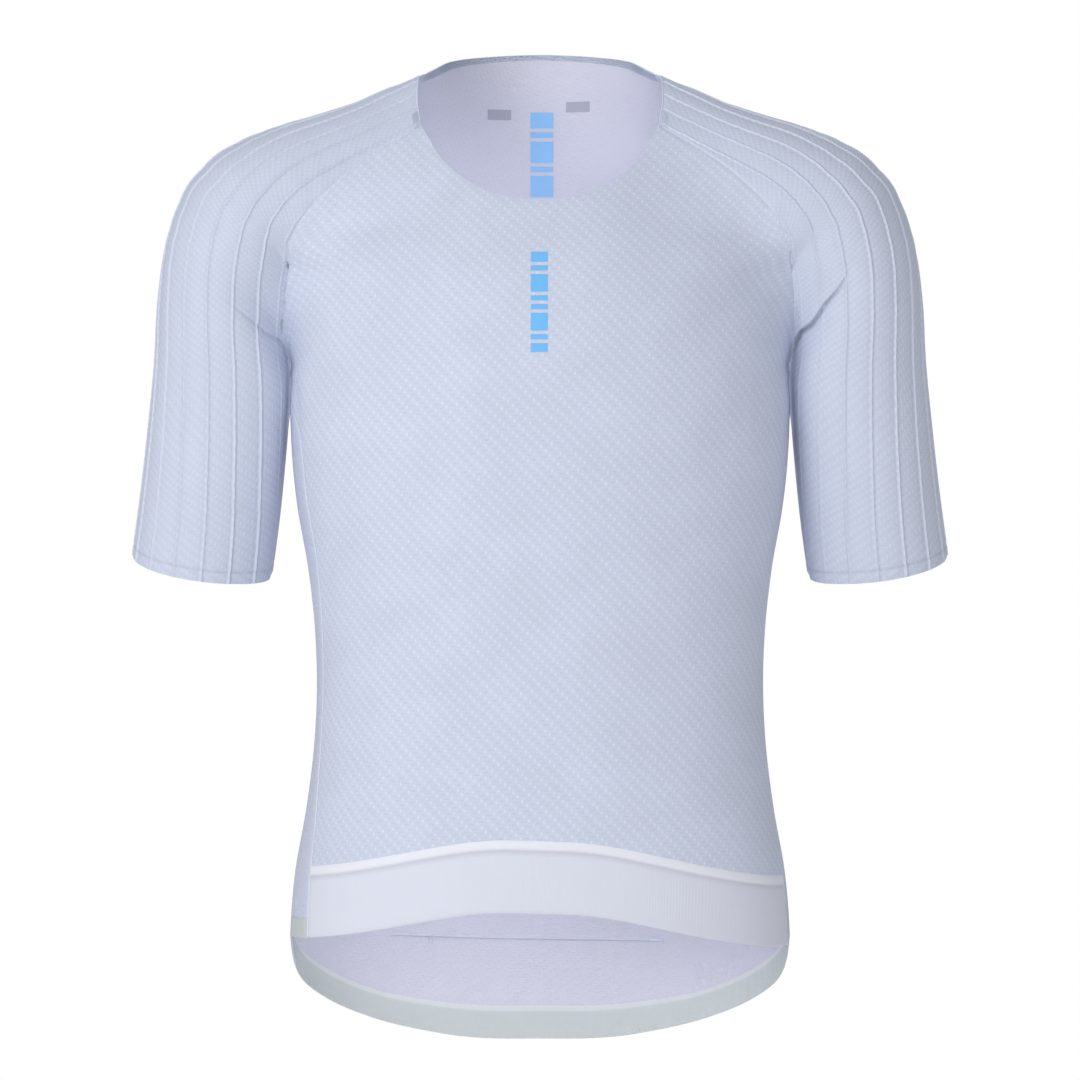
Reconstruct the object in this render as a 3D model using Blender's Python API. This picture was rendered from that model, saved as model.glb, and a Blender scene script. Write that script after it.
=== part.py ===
"""A short-sleeved raglan cycling jersey, standing open in the shape that it has when it is worn.

Sizes are in metres. X runs to the wearer's left, Y to the back and Z up. The origin lies between the
shoulders, level with the side of the neck. Every panel is cut on one smooth form, a general figure, and
is a wall of cloth on the inside of that form.
"""

import math

import bmesh
import bpy
import numpy as np

NAME = "cycling_jersey"

# Cloth
WALL = 0.0014
BAND_WALL = 0.0016
TRUNK_HALF = 0.17
SEAM_GAP = 0.0003
SLEEVE_EASE = 0.0001  # further back for the sleeves, whose edge bends most
EXPONENT = 2.25  # of the trunk's rings; 2 would be an ellipse

# Ribs of the sleeves
RIB_SIDE = 0.07  # from a rib's crest to its foot, as a share of the distance between ribs
RIB_HEIGHT = 0.0007

# Hems and bands
FRONT_HEM_CENTRE = -0.5775
FRONT_HEM_DROP = 0.0255
FRONT_HEM_TURN = (8, 82)  # degrees round from the middle between which it drops
FRONT_HEM_FLATNESS = 1.15
FRONT_BAND_HEIGHT = 0.049
BOND_STRIP_HEIGHT = 0.006
BOND_STRIP_RELIEF = 0.0005
HEM_TILT = -0.020  # how far the front hem falls per metre towards the wearer's left
SEAM_TWIST = 0.012  # the side seams sit this much round to the wearer's left

# Back pockets
POCKET_TOP = -0.455
POCKET_BASE = -0.613
POCKET_WALL = 0.0011
POCKET_COLUMNS = 6  # each side of the middle, of the back panel's columns
POCKET_SLANT_FROM = 0.3  # the mouth falls towards its ends from this share of its half width
POCKET_SLANT = 0.95  # of the height of one row of the panel

# Grids
PANEL_COLUMNS = 20
SIDE_ROWS = 11
SLEEVE_ROWS = 15
PROBE = 0.0008  # step that the form's slope is taken over


def table(columns, rows):
    """A table with named columns, as arrays."""
    return dict(zip(columns.split(), np.array(rows, float).T))


# Rings of the trunk, from the back hem up to where the shoulders close over it.
TRUNK = table(
    "z half front back",
    [
        (-0.700, 0.1735, 0.103, 0.112),
        (-0.645, 0.1745, 0.104, 0.114),
        (-0.602, 0.1747, 0.105, 0.113),
        (-0.557, 0.1712, 0.106, 0.108),
        (-0.513, 0.1635, 0.106, 0.100),
        (-0.468, 0.1579, 0.106, 0.093),
        (-0.434, 0.1561, 0.107, 0.089),
        (-0.389, 0.1572, 0.109, 0.088),
        (-0.345, 0.1620, 0.112, 0.092),
        (-0.300, 0.1698, 0.116, 0.099),
        (-0.266, 0.1733, 0.118, 0.104),
        (-0.244, 0.1743, 0.119, 0.107),
        (-0.212, 0.1730, 0.118, 0.110),
        (-0.170, 0.1660, 0.113, 0.111),
        (-0.120, 0.1480, 0.097, 0.107),
        (-0.080, 0.1220, 0.076, 0.096),
        (-0.040, 0.0850, 0.046, 0.074),
        (0.000, 0.0300, 0.014, 0.030),
    ],
)

# The tube of shoulder and arm: its axis, half its height across the axis, and its depths along Y.
ARM = table(
    "x z up front back shift",
    [
        (0.0000, -0.0550, 0.0600, 0.030, 0.046, 0.000),
        (0.0500, -0.0580, 0.0600, 0.032, 0.048, 0.000),
        (0.0800, -0.0640, 0.0600, 0.036, 0.050, 0.000),
        (0.1100, -0.0740, 0.0580, 0.046, 0.054, 0.000),
        (0.1400, -0.0830, 0.0570, 0.054, 0.057, 0.000),
        (0.1700, -0.0900, 0.0550, 0.059, 0.060, 0.000),
        (0.2000, -0.1000, 0.0505, 0.060, 0.061, 0.000),
        (0.2130, -0.1260, 0.0490, 0.060, 0.060, 0.001),
        (0.2190, -0.1600, 0.0482, 0.059, 0.059, 0.003),
        (0.2217, -0.2000, 0.0478, 0.057, 0.057, 0.006),
        (0.2265, -0.2500, 0.0482, 0.054, 0.054, 0.011),
        (0.2330, -0.3000, 0.0480, 0.052, 0.052, 0.017),
        (0.2400, -0.3450, 0.0478, 0.050, 0.050, 0.023),
        (0.2490, -0.4000, 0.0478, 0.050, 0.050, 0.030),
    ],
)
ARM_STEPS = 42

# The base of the neck, which lifts the cloth behind and beside it.
NECK_HALF = 0.060
NECK_DEPTH = 0.060
NECK_SHIFT = 0.010
NECK_BLEND = 0.045

# How softly trunk and arm run into each other, at a height.
BLEND = table(
    "z width",
    [(-0.214, 0.001), (-0.200, 0.008), (-0.180, 0.022), (-0.150, 0.038), (-0.100, 0.048)],
)

# Planes across the sleeve at a length along it: where each crosses the sleeve's middle, how far it leans
# out from upright and swings back, where the fourth rib lies round from the top line, how far apart the
# ribs are ahead of rib nought and behind it, and how far past the arm's tube the cloth may lie.
STATIONS = table(
    "s x z lean swing fourth pitch behind room",
    [
        (-0.030, 0.0580, -0.0550, -7.0, 0.0, 0.0200, 0.0145, 0.0145, 0.080),
        (0.000, 0.0850, -0.0600, 2.0, 0.0, 0.0270, 0.0143, 0.0143, 0.080),
        (0.050, 0.1220, -0.0740, 14.0, 0.0, 0.0400, 0.0135, 0.0135, 0.070),
        (0.100, 0.1580, -0.0880, 22.0, 0.0, 0.0520, 0.0154, 0.0154, 0.050),
        (0.150, 0.1900, -0.0980, 38.0, 0.0, 0.0680, 0.0170, 0.0166, 0.030),
        (0.195, 0.2060, -0.1100, 55.0, 1.0, 0.0720, 0.0192, 0.0168, 0.018),
        (0.240, 0.2145, -0.1380, 67.5, 2.0, 0.0750, 0.0192, 0.0174, 0.010),
        (0.297, 0.2205, -0.1850, 77.0, 4.0, 0.0773, 0.0184, 0.0184, 0.003),
        (0.320, 0.2225, -0.2045, 80.8, 6.0, 0.0776, 0.0184, 0.0184, 0.000),
        (0.365, 0.2280, -0.2620, 81.0, 9.0, 0.0802, 0.0189, 0.0189, 0.000),
        (0.410, 0.2340, -0.3040, 81.0, 11.0, 0.0825, 0.0196, 0.0196, 0.000),
        (0.447, 0.2400, -0.3445, 81.0, 13.0, 0.0835, 0.0200, 0.0200, 0.000),
    ],
)
STATION_COUNT = 96
RAY_COUNT = 121
CUFF = 0.445
UNDERARM = 0.320
UNDERARM_Z = -0.212

# The sleeve's upper edge as it is cut: where round the sleeve, counted in ribs from the back to the front,
# and how far along it. It runs up the back raglan seam, across the neck edge and down the front seam.
HEAD = table(
    "rib s",
    [
        (-9.25, 0.320),
        (-8.65, 0.302),
        (-8.40, 0.280),
        (-8.30, 0.255),
        (-8.23, 0.230),
        (-8.17, 0.205),
        (-8.10, 0.180),
        (-8.00, 0.152),
        (-7.60, 0.1245),
        (-7.07, 0.1085),
        (-5.74, 0.0765),
        (-4.44, 0.051),
        (-2.57, 0.0295),
        (-0.67, 0.0115),
        (0.31, 0.001),
        (1.10, -0.003),
        (1.85, -0.005),
        (2.60, -0.002),
        (4.40, -0.001),
        (6.20, -0.003),
        (6.27, 0.018),
        (6.45, 0.046),
        (6.70, 0.071),
        (6.90, 0.090),
        (7.06, 0.112),
        (7.14, 0.140),
        (7.20, 0.180),
        (7.26, 0.220),
        (7.34, 0.250),
        (7.52, 0.274),
        (7.95, 0.296),
        (8.79, 0.320),
    ],
)
BACK_BAND_FOOT = 1.10  # the neck band reaches down the back raglan seam to here
BACK_CORNER = 1.85
FRONT_CORNER = 6.20
LAST_RIB = 7
CUT_ROOM = 0.13  # a row this near to a rib, in ribs, gets no line of its own

# The neck edge and the hems: height at an angle from the middle of the front.
NECK_EDGE = table(
    "angle z",
    [
        (0, -0.0920),
        (14, -0.0900),
        (27, -0.0840),
        (38, -0.0750),
        (49, -0.0620),
        (62, -0.0400),
        (78, -0.0150),
        (93, 0.0025),
        (102, 0.0080),
        (110, 0.0122),
        (125, 0.0165),
        (140, 0.0194),
        (180, 0.0234),
    ],
)
BACK_HEM = table(
    "angle z height",
    [
        (74, -0.5995, 0.014),
        (84, -0.6010, 0.014),
        (90, -0.6050, 0.016),
        (97, -0.6255, 0.020),
        (111, -0.6505, 0.021),
        (127, -0.6700, 0.021),
        (146, -0.6825, 0.023),
        (180, -0.6870, 0.024),
    ],
)
# Side seams: how far ahead of the widest line they run.
SIDE_SEAM = table(
    "z ahead",
    [
        (-0.700, 0.036),
        (-0.602, 0.036),
        (-0.550, 0.033),
        (-0.468, 0.022),
        (-0.400, 0.024),
        (-0.300, 0.032),
        (-0.240, 0.024),
        (-0.212, 0.000),
    ],
)

# Soft troughs where a sleeve folds at the armpit, on the front and on the back.
ARMPIT_FOLD = table(
    "x z depth width",
    [
        (0.214, -0.142, 0.0000, 0.020),
        (0.203, -0.151, 0.0030, 0.017),
        (0.193, -0.162, 0.0060, 0.014),
        (0.183, -0.176, 0.0075, 0.012),
        (0.178, -0.194, 0.0050, 0.010),
        (0.175, -0.210, 0.0000, 0.008),
    ],
)
FOLD_STEPS = 24

COLOURS = {
    "front": (0.62, 0.66, 0.78),
    "back": (0.58, 0.62, 0.75),
    "sleeve": (0.64, 0.68, 0.79),
    "band": (0.78, 0.79, 0.86),
    "grip": (0.68, 0.72, 0.72),
    "trim": (0.50, 0.54, 0.62),
}


# --- Curves -----------------------------------------------------------------------------------------


def read(rows, column, at, key):
    """A column of a table, read smoothly at values of its key column and level past its ends."""
    knots = rows[key]
    values = rows[column]
    at = np.clip(at, knots[0], knots[-1])
    slopes = np.gradient(values, knots)
    i = np.clip(np.searchsorted(knots, at) - 1, 0, len(knots) - 2)
    span = knots[i + 1] - knots[i]
    t = (at - knots[i]) / span
    start = (1 + 2 * t) * (1 - t) ** 2 * values[i] + t * (1 - t) ** 2 * span * slopes[i]
    end = t * t * (3 - 2 * t) * values[i + 1] + t * t * (t - 1) * span * slopes[i + 1]
    return start + end


def along(rows, columns, count):
    """A smooth path through a table's rows, evenly spaced by their straight distance."""
    x, z = rows["x"], rows["z"]
    run = np.concatenate([[0], np.cumsum(np.hypot(np.diff(x), np.diff(z)))])
    at = np.linspace(0, run[-1], count)
    placed = {**rows, "run": run}
    return {name: read(placed, name, at, "run") for name in columns}


def smoothstep(low, high, value):
    t = np.clip((value - low) / (high - low), 0, 1)
    return t * t * (3 - 2 * t)


# --- The form ---------------------------------------------------------------------------------------


def ring_distance(across, depth, half, reach, exponent):
    """Roughly how far a point lies outside a rounded ring, negative inside it."""
    across = np.maximum(np.abs(across), 1e-6)
    depth = np.abs(depth)
    ratio = ((across / half) ** exponent + (depth / reach) ** exponent) ** (1 / exponent)
    return np.hypot(across, depth) * (1 - 1 / ratio)


def soft_union(first, second, width):
    """The nearer of two surfaces, run together where they are within the width."""
    near = np.maximum(width - np.abs(first - second), 0)
    return np.minimum(first, second) - near * near / (4 * width)


def trunk_distance(p):
    z = p[:, 2]
    front = read(TRUNK, "front", z, "z")
    back = read(TRUNK, "back", z, "z")
    half = read(TRUNK, "half", z, "z")
    return ring_distance(p[:, 0], p[:, 1], half, np.where(p[:, 1] < 0, front, back), EXPONENT)


ARM_PATH = along(ARM, ("x", "z", "up", "front", "back", "shift"), ARM_STEPS)


def arm_distance(p):
    path = ARM_PATH
    start = np.stack([path["x"][:-1], path["z"][:-1]], axis=1)
    step = np.stack([np.diff(path["x"]), np.diff(path["z"])], axis=1)
    spot = np.stack([np.abs(p[:, 0]), p[:, 2]], axis=1)[:, None]
    t = np.clip(((spot - start) * step).sum(2) / (step**2).sum(1), 0, 1)
    away = np.linalg.norm(spot - start - t[:, :, None] * step, axis=2)
    here = {}
    for name in ("up", "front", "back", "shift"):
        here[name] = path[name][:-1] + t * np.diff(path[name])
    depth = p[:, 1][:, None] - here["shift"]
    reach = np.where(depth < 0, here["front"], here["back"])
    return ring_distance(away, depth, here["up"], reach, 2.1).min(axis=1)


def form_distance(p):
    """The whole figure: trunk, arms and the base of the neck in one skin."""
    width = read(BLEND, "width", p[:, 2], "z")
    body = soft_union(trunk_distance(p), arm_distance(p), width)
    neck = ring_distance(p[:, 0], p[:, 1] - NECK_SHIFT, NECK_HALF, NECK_DEPTH, 2)
    neck = np.maximum(neck, -0.09 - p[:, 2])
    return soft_union(body, neck, NECK_BLEND)


def cast(origin, direction, reach, distance):
    """Where rays from inside the form leave it."""
    near = np.zeros(len(origin))
    far = np.broadcast_to(reach, near.shape).astype(float)
    for _ in range(26):
        middle = (near + far) / 2
        inside = distance(origin + direction * middle[:, None]) < 0
        near = np.where(inside, middle, near)
        far = np.where(inside, far, middle)
    return origin + direction * near[:, None]


def trunk_point(angle, z, reach=0.3, distance=form_distance):
    """Points on the form at angles in degrees round from the middle of the front, and heights."""
    angle, z, reach = np.broadcast_arrays(np.asarray(angle, float), z, reach)
    shape = angle.shape
    turn = np.radians(angle.ravel())
    origin = np.stack([0 * turn, 0 * turn, z.ravel()], axis=1)
    direction = np.stack([np.sin(turn), -np.cos(turn), 0 * turn], axis=1)
    return cast(origin, direction, reach.ravel(), distance).reshape(*shape, 3)


def outward(points, distance=form_distance):
    """Directions straight out of the form at points on it."""
    spots = points.reshape(-1, 3)
    slopes = [distance(spots + step) - distance(spots - step) for step in np.eye(3) * PROBE]
    out = np.stack(slopes, axis=1)
    return (out / np.linalg.norm(out, axis=1, keepdims=True)).reshape(points.shape)


def angle_of(points):
    return np.degrees(np.arctan2(points[..., 0], -points[..., 1]))


# --- The sleeve, as lengths along it and ribs round it ------------------------------------------------


def sleeve_rings():
    """Rings of the sleeve: for each plane across it, points and their distances round from the top line."""
    s = np.linspace(STATIONS["s"][0], STATIONS["s"][-1], STATION_COUNT)
    here = {name: read(STATIONS, name, s, "s") for name in ("x", "z", "lean", "swing", "room")}
    lean, swing, zero = np.radians(here["lean"]), np.radians(here["swing"]), np.zeros_like(s)
    shift = np.interp(-here["z"], -ARM["z"], ARM["shift"])
    middle = np.stack([here["x"], shift, here["z"]], axis=1)
    out = np.stack([np.sin(lean), zero, np.cos(lean)], axis=1)
    ahead = np.stack([zero, -np.cos(swing), -np.sin(swing)], axis=1)
    turn = np.linspace(-math.pi, math.pi, RAY_COUNT)[:, None]
    rays = np.cos(turn) * out[:, None] + np.sin(turn) * ahead[:, None]
    rays = (rays / np.linalg.norm(rays, axis=2, keepdims=True)).reshape(-1, 3)
    starts = np.repeat(middle, RAY_COUNT, axis=0)
    tube = cast(starts, rays, 0.14, arm_distance)
    room = np.repeat(here["room"], RAY_COUNT)
    reach = np.linalg.norm(tube - starts, axis=1) + room
    cloth = cast(starts, rays, reach, form_distance)
    points = np.where(room[:, None] > 1e-4, cloth, tube).reshape(STATION_COUNT, RAY_COUNT, 3)
    steps = np.linalg.norm(np.diff(points, axis=1), axis=2)
    run = np.concatenate([np.zeros((STATION_COUNT, 1)), np.cumsum(steps, axis=1)], axis=1)
    run -= run[:, RAY_COUNT // 2][:, None]
    fourth, pitch, behind = (read(STATIONS, name, s, "s")[:, None] for name in ("fourth", "pitch", "behind"))
    past = run - (fourth - 4 * pitch)
    return s, np.where(past > 0, past / pitch, past / behind), points


RING_S, RING_RIBS, RING_POINTS = sleeve_rings()


def sleeve_point(s, rib):
    """A point of the sleeve at a length along it and a place round it."""
    place = np.clip((s - RING_S[0]) / (RING_S[1] - RING_S[0]), 0, STATION_COUNT - 1.001)
    low = int(place)
    found = [
        np.array([np.interp(rib, RING_RIBS[i], RING_POINTS[i, :, axis]) for axis in range(3)])
        for i in (low, low + 1)
    ]
    return found[0] + (found[1] - found[0]) * (place - low)


def sleeve_columns():
    """Where lines run down the sleeve: three for each rib and one from each row of the cut edge."""
    ribs = [rib + side for rib in range(-LAST_RIB, LAST_RIB + 1) for side in (-RIB_SIDE, 0, RIB_SIDE)]
    corners = (BACK_BAND_FOOT, BACK_CORNER, FRONT_CORNER)
    cut = [
        rib
        for rib in HEAD["rib"][1:]
        if rib in corners or min(abs(rib - other) for other in ribs) > CUT_ROOM
    ]
    return sorted(ribs + cut)


def sleeve_s(rib, share):
    """How far along the sleeve a share of a line's length is."""
    start = float(np.interp(rib, HEAD["rib"], HEAD["s"]))
    return start + (CUFF - start) * share


def sleeve_line(rib, shares):
    """Points down the sleeve from its cut edge to the cuff, along a rib or, past the last, tapering."""
    last = math.copysign(LAST_RIB + RIB_SIDE, rib)
    points = []
    for share in shares:
        s = sleeve_s(rib, share)
        at = rib
        if abs(rib) > abs(last):
            end = 0 if rib < 0 else -1
            under = np.interp(max(s, UNDERARM), RING_S, RING_RIBS[:, end])
            at = last + (rib - last) / (HEAD["rib"][end] - last) * (under - last)
        points.append(sleeve_point(s, at))
    return points


# --- Shells -----------------------------------------------------------------------------------------


def pull_in(edge, out, distance):
    """An edge moved over the cloth, square to its own line, to its left seen from outside."""
    side = np.cross(out, np.gradient(edge, axis=0))
    return edge + side / np.linalg.norm(side, axis=1, keepdims=True) * distance


def seams(grid, out, sides, gap=SEAM_GAP):
    """The grid with the named sides (bottom, top, left, right) drawn back for their seams."""
    grid = grid.copy()
    if "bottom" in sides:
        grid[0] = pull_in(grid[0], out[0], gap / 2)
    if "top" in sides:
        grid[-1] = pull_in(grid[-1], out[-1], -gap / 2)
    if "left" in sides:
        grid[:, 0] = pull_in(grid[:, 0], out[:, 0], -gap / 2)
    if "right" in sides:
        grid[:, -1] = pull_in(grid[:, -1], out[:, -1], gap / 2)
    return grid


def shell(name, grid, out, colour, wall=WALL, relief=0.0, wrap=False, mirror=False):
    """A wall of cloth with its outer face on the grid, raised there by the relief."""
    outer = grid + out * relief
    inner = grid - out * wall
    rows, columns = grid.shape[:2]
    size = rows * columns
    points = np.concatenate([outer.reshape(-1, 3), inner.reshape(-1, 3)])
    if mirror:
        points = points * (-1, 1, 1)
    faces = []
    for row in range(rows - 1):
        for column in range(columns if wrap else columns - 1):
            beside = (column + 1) % columns
            a, b = row * columns + column, row * columns + beside
            c, d = b + columns, a + columns
            faces.append((a, b, c, d))
            faces.append((d + size, c + size, b + size, a + size))
            if row == 0:
                faces.append((b, a, a + size, b + size))
            if row == rows - 2:
                faces.append((d, c, c + size, d + size))
        if not wrap:
            for column, step in ((0, 1), (columns - 1, -1)):
                a = row * columns + column
                b = a + columns
                face = (a, b, b + size, a + size)
                faces.append(face if step > 0 else face[::-1])
    mesh = bpy.data.meshes.new(name)
    mesh.from_pydata([tuple(point) for point in points], [], faces)
    made = bmesh.new()
    made.from_mesh(mesh)
    bmesh.ops.triangulate(made, faces=made.faces)
    bmesh.ops.recalc_face_normals(made, faces=made.faces)
    made.to_mesh(mesh)
    made.free()
    mesh.shade_smooth()
    mesh.set_sharp_from_angle(angle=math.radians(50))
    mesh.materials.append(material(name, colour))
    piece = bpy.data.objects.new(name, mesh)
    collection.objects.link(piece)
    return piece


def material(name, colour):
    made = bpy.data.materials.new(name)
    made.use_nodes = True
    surface = made.node_tree.nodes["Principled BSDF"]
    surface.inputs["Base Color"].default_value = (*COLOURS[colour], 1)
    surface.inputs["Roughness"].default_value = 0.75
    surface.inputs["Metallic"].default_value = 0
    return made


# --- The pieces -------------------------------------------------------------------------------------


def fold(points):
    """How deep the armpit's fold is at points of a sleeve."""
    path = along(ARMPIT_FOLD, ("x", "z", "depth", "width"), FOLD_STEPS)
    away = np.hypot(points[..., 0:1] - path["x"], points[..., 2:3] - path["z"])
    return (path["depth"] * np.exp(-((away / path["width"]) ** 2))).max(axis=-1)


def make_sleeves():
    """Both sleeves, and the cut edge that the body's panels meet, from the underarm round to itself."""
    columns = sleeve_columns()
    shares = np.linspace(0, 1, SLEEVE_ROWS + 1)
    grid = np.array([sleeve_line(rib, shares) for rib in columns]).swapaxes(0, 1)
    head = grid[0].copy()
    crest = np.isclose(np.round(columns), columns) & (np.abs(columns) < LAST_RIB + 0.5)
    out = outward(grid)
    tube = np.array([[sleeve_s(rib, share) > UNDERARM for rib in columns] for share in shares])
    out[tube] = outward(grid[tube], arm_distance)
    grid = seams(grid, out, ("bottom",), SEAM_GAP + 2 * SLEEVE_EASE) - out * fold(grid)[..., None]
    relief = np.where(crest, RIB_HEIGHT, 0.0)[None, :, None]
    for name, mirror in (("sleeve_left", False), ("sleeve_right", True)):
        shell(name, grid, out, "sleeve", relief=relief, wrap=True, mirror=mirror)
    return np.array(columns), head


def side_seam(z, side):
    """Points of a side seam at heights, on the wearer's left (1) or right (-1)."""
    twist = SEAM_TWIST * smoothstep(UNDERARM_Z, UNDERARM_Z - 0.05, z)
    y = -read(SIDE_SEAM, "ahead", z, "z") + side * twist
    origin = np.stack([0 * z, y, z], axis=1)
    direction = np.array([[side, 0, 0]]) * np.ones((len(z), 1))
    return cast(origin, direction, 0.3, trunk_distance)


def front_hem(angle):
    drop = FRONT_HEM_DROP * smoothstep(*FRONT_HEM_TURN, np.abs(angle)) ** FRONT_HEM_FLATNESS
    return FRONT_HEM_CENTRE - drop + HEM_TILT * TRUNK_HALF * np.sin(np.radians(angle))


def front_band_top(angle):
    return front_hem(angle) + FRONT_BAND_HEIGHT


def back_hem(angle):
    return read(BACK_HEM, "z", 180 - np.abs(angle - 180), "angle")


def back_band_height(angle):
    return read(BACK_HEM, "height", 180 - np.abs(angle - 180), "angle")


def neck_edge(angle):
    return read(NECK_EDGE, "z", 180 - np.abs(np.abs(angle) - 180), "angle")


def mix(first, second, share):
    return first + (second - first) * share


def bend(line, angle, share):
    """How far a line, given as a height at an angle, rises above a straight run between its ends."""
    height = line(angle)
    return height - mix(height[:1], height[-1:], share)


def mirrored(points):
    return points * (-1, 1, 1)


def hem_end(hem, side):
    """Where a line round the hem, given as a height at an angle, meets a side seam."""
    z = np.array([FRONT_HEM_CENTRE])
    for _ in range(6):
        z = hem(angle_of(side_seam(z, side)))
    return side_seam(z, side)[0]


def side_edge(hem, side):
    """A side seam from a hem line up to just below the underarm, in the same steps on both its panels."""
    low, foot = (hem_end(line, side)[2] for line in (front_band_top, hem))
    levels = np.linspace(low, UNDERARM_Z, SIDE_ROWS + 1)[:-1]
    if low - foot > SEAM_GAP:
        levels = np.concatenate([[foot], levels])
    return side_seam(levels, side)


def spread(left, right, middle):
    """Angles of a panel's columns between two edges, even about the middle and skewed only near the seams."""
    first = middle - (middle - angle_of(left)) % 360
    last = middle + (angle_of(right) - middle) % 360
    across = np.linspace(-1, 1, PANEL_COLUMNS + 1)
    half = (last - first) / 2
    return middle + half[..., None] * across + ((first + last) / 2 - middle)[..., None] * across**4


def hem_row(hem, sides, middle):
    """Points along a line round the hem, from one side seam to the other."""
    left, right = (hem_end(hem, side) for side in sides)
    angle = spread(left, right, middle)
    row = trunk_point(angle, hem(angle), 0.3, trunk_distance)
    row[0], row[-1] = left, right
    return row


def panel(left, right, bottom, top, middle):
    """A body panel between two edges, each from the hem up, with its rows bent to its hem and its neck.

    bottom and top give the heights of those two lines at an angle, and middle is the panel's own angle.
    """
    share = np.linspace(0, 1, PANEL_COLUMNS + 1)
    angle = spread(left, right, middle)
    level = mix(left[:, 2:], right[:, 2:], share)
    height = (left[:, 2:] + right[:, 2:]) / 2
    level = level + bend(bottom, angle[0], share) * smoothstep(UNDERARM_Z - 0.1, height[0, 0], height)
    level = level + bend(top, angle[-1], share) * smoothstep(UNDERARM_Z - 0.06, height[-1, 0], height)
    room = smoothstep(-0.15, -0.05, height) * 0.02 + 0.001
    reach = (np.hypot(left[:, :1], left[:, 1:2]) + room) * np.ones_like(angle)
    above = height[:, 0] > UNDERARM_Z - 1e-4
    grid = trunk_point(angle, level, 0.3, trunk_distance)
    grid[above] = trunk_point(angle[above], level[above], reach[above])
    grid[:, 0] = left
    grid[:, -1] = right
    return grid


def body_outward(grid):
    """Directions out of a panel: out of the bare trunk in the rows that lie below the sleeves."""
    out = outward(grid)
    low = grid[:, 0, 2] < UNDERARM_Z - 1e-4
    out[low] = outward(grid[low], trunk_distance)
    return out


def make_front(raglan):
    strip = FRONT_BAND_HEIGHT - BOND_STRIP_HEIGHT
    rises = np.array((0, strip / 2, strip - BOND_STRIP_RELIEF, strip, FRONT_BAND_HEIGHT))
    rows = [hem_row(lambda angle, rise=rise: front_hem(angle) + rise, (-1, 1), 0) for rise in rises]

    left = np.concatenate([side_edge(front_band_top, -1), mirrored(raglan)])
    right = np.concatenate([side_edge(front_band_top, 1), raglan])
    grid = np.concatenate([rows[:-1], panel(left, right, front_band_top, neck_edge, 0)])
    out = body_outward(grid)
    top = len(rises) - 1
    shell("front", seams(grid[top:], out[top:], ("bottom", "left", "right")), out[top:], "front")
    band = seams(grid[: top + 1], out[: top + 1], ("top", "left", "right"))
    relief = np.where(rises >= strip, BOND_STRIP_RELIEF, 0.0)[:, None, None]
    shell("front_hem_band", band, out[: top + 1], "band", wall=BAND_WALL, relief=relief)


def make_back(raglan, neck):
    """The back panel, the bands below and above it and the pockets that lie on it, from one grid."""
    rows = []
    for share in (0, 0.5, 1):

        def seam(angle, share=share):
            return back_hem(angle) + back_band_height(angle) * share

        rows.append(hem_row(seam, (1, -1), 180))
    left = np.concatenate([side_edge(seam, 1), raglan, neck])
    right = np.concatenate([side_edge(seam, -1), mirrored(raglan), mirrored(neck)])
    grid = np.concatenate([rows[:-1], panel(left, right, seam, neck_edge, 180)])
    out = body_outward(grid)
    low, high = len(rows) - 1, len(grid) - len(neck)
    band = seams(grid[: low + 1], out[: low + 1], ("top", "left", "right"))
    shell("back_hem_band", band, out[: low + 1], "grip", wall=BAND_WALL)
    trim = seams(grid[high - 1 :], out[high - 1 :], ("bottom", "left", "right"))
    shell("back_neck_band", trim, out[high - 1 :], "trim")
    grid, out = grid[low:high], out[low:high]
    shell("back", seams(grid, out, ("bottom", "top", "left", "right")), out, "back")

    middle = PANEL_COLUMNS // 2
    height = grid[:, middle, 2]
    base, mouth = (int(np.argmin(abs(height - level))) for level in (POCKET_BASE, POCKET_TOP))
    rows, columns = slice(base, mouth + 1), slice(middle - POCKET_COLUMNS, middle + POCKET_COLUMNS + 1)
    out = out[rows, columns]
    patch = grid[rows, columns] + out * (SEAM_GAP + POCKET_WALL)
    across = np.abs(np.linspace(-1, 1, patch.shape[1]))
    slant = np.clip((across - POCKET_SLANT_FROM) / (1 - POCKET_SLANT_FROM), 0, 1) * POCKET_SLANT
    patch[-1] = mix(patch[-1], patch[-2], slant[:, None])
    shell("back_pockets", patch, out, "back", wall=POCKET_WALL)


collection = bpy.data.collections.new(NAME)


def build():
    for item in list(bpy.data.objects):
        bpy.data.objects.remove(item)
    bpy.context.scene.collection.children.link(collection)
    columns, head = make_sleeves()
    make_front(head[columns >= FRONT_CORNER - 1e-6][::-1])
    behind = columns <= BACK_BAND_FOOT + 1e-6
    beside = ~behind & (columns <= BACK_CORNER + 1e-6)
    make_back(np.concatenate([head[-1:], head[behind]]), head[beside])


build()
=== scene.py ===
"""The looks of a short-sleeved raglan cycling jersey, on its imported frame.

Sizes are in metres. X runs to the wearer's left, Y to the back and Z up. The cloth is worked out again
here, finer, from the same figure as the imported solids, with its ribs, seams, creases and knit.
"""

import math

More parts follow.
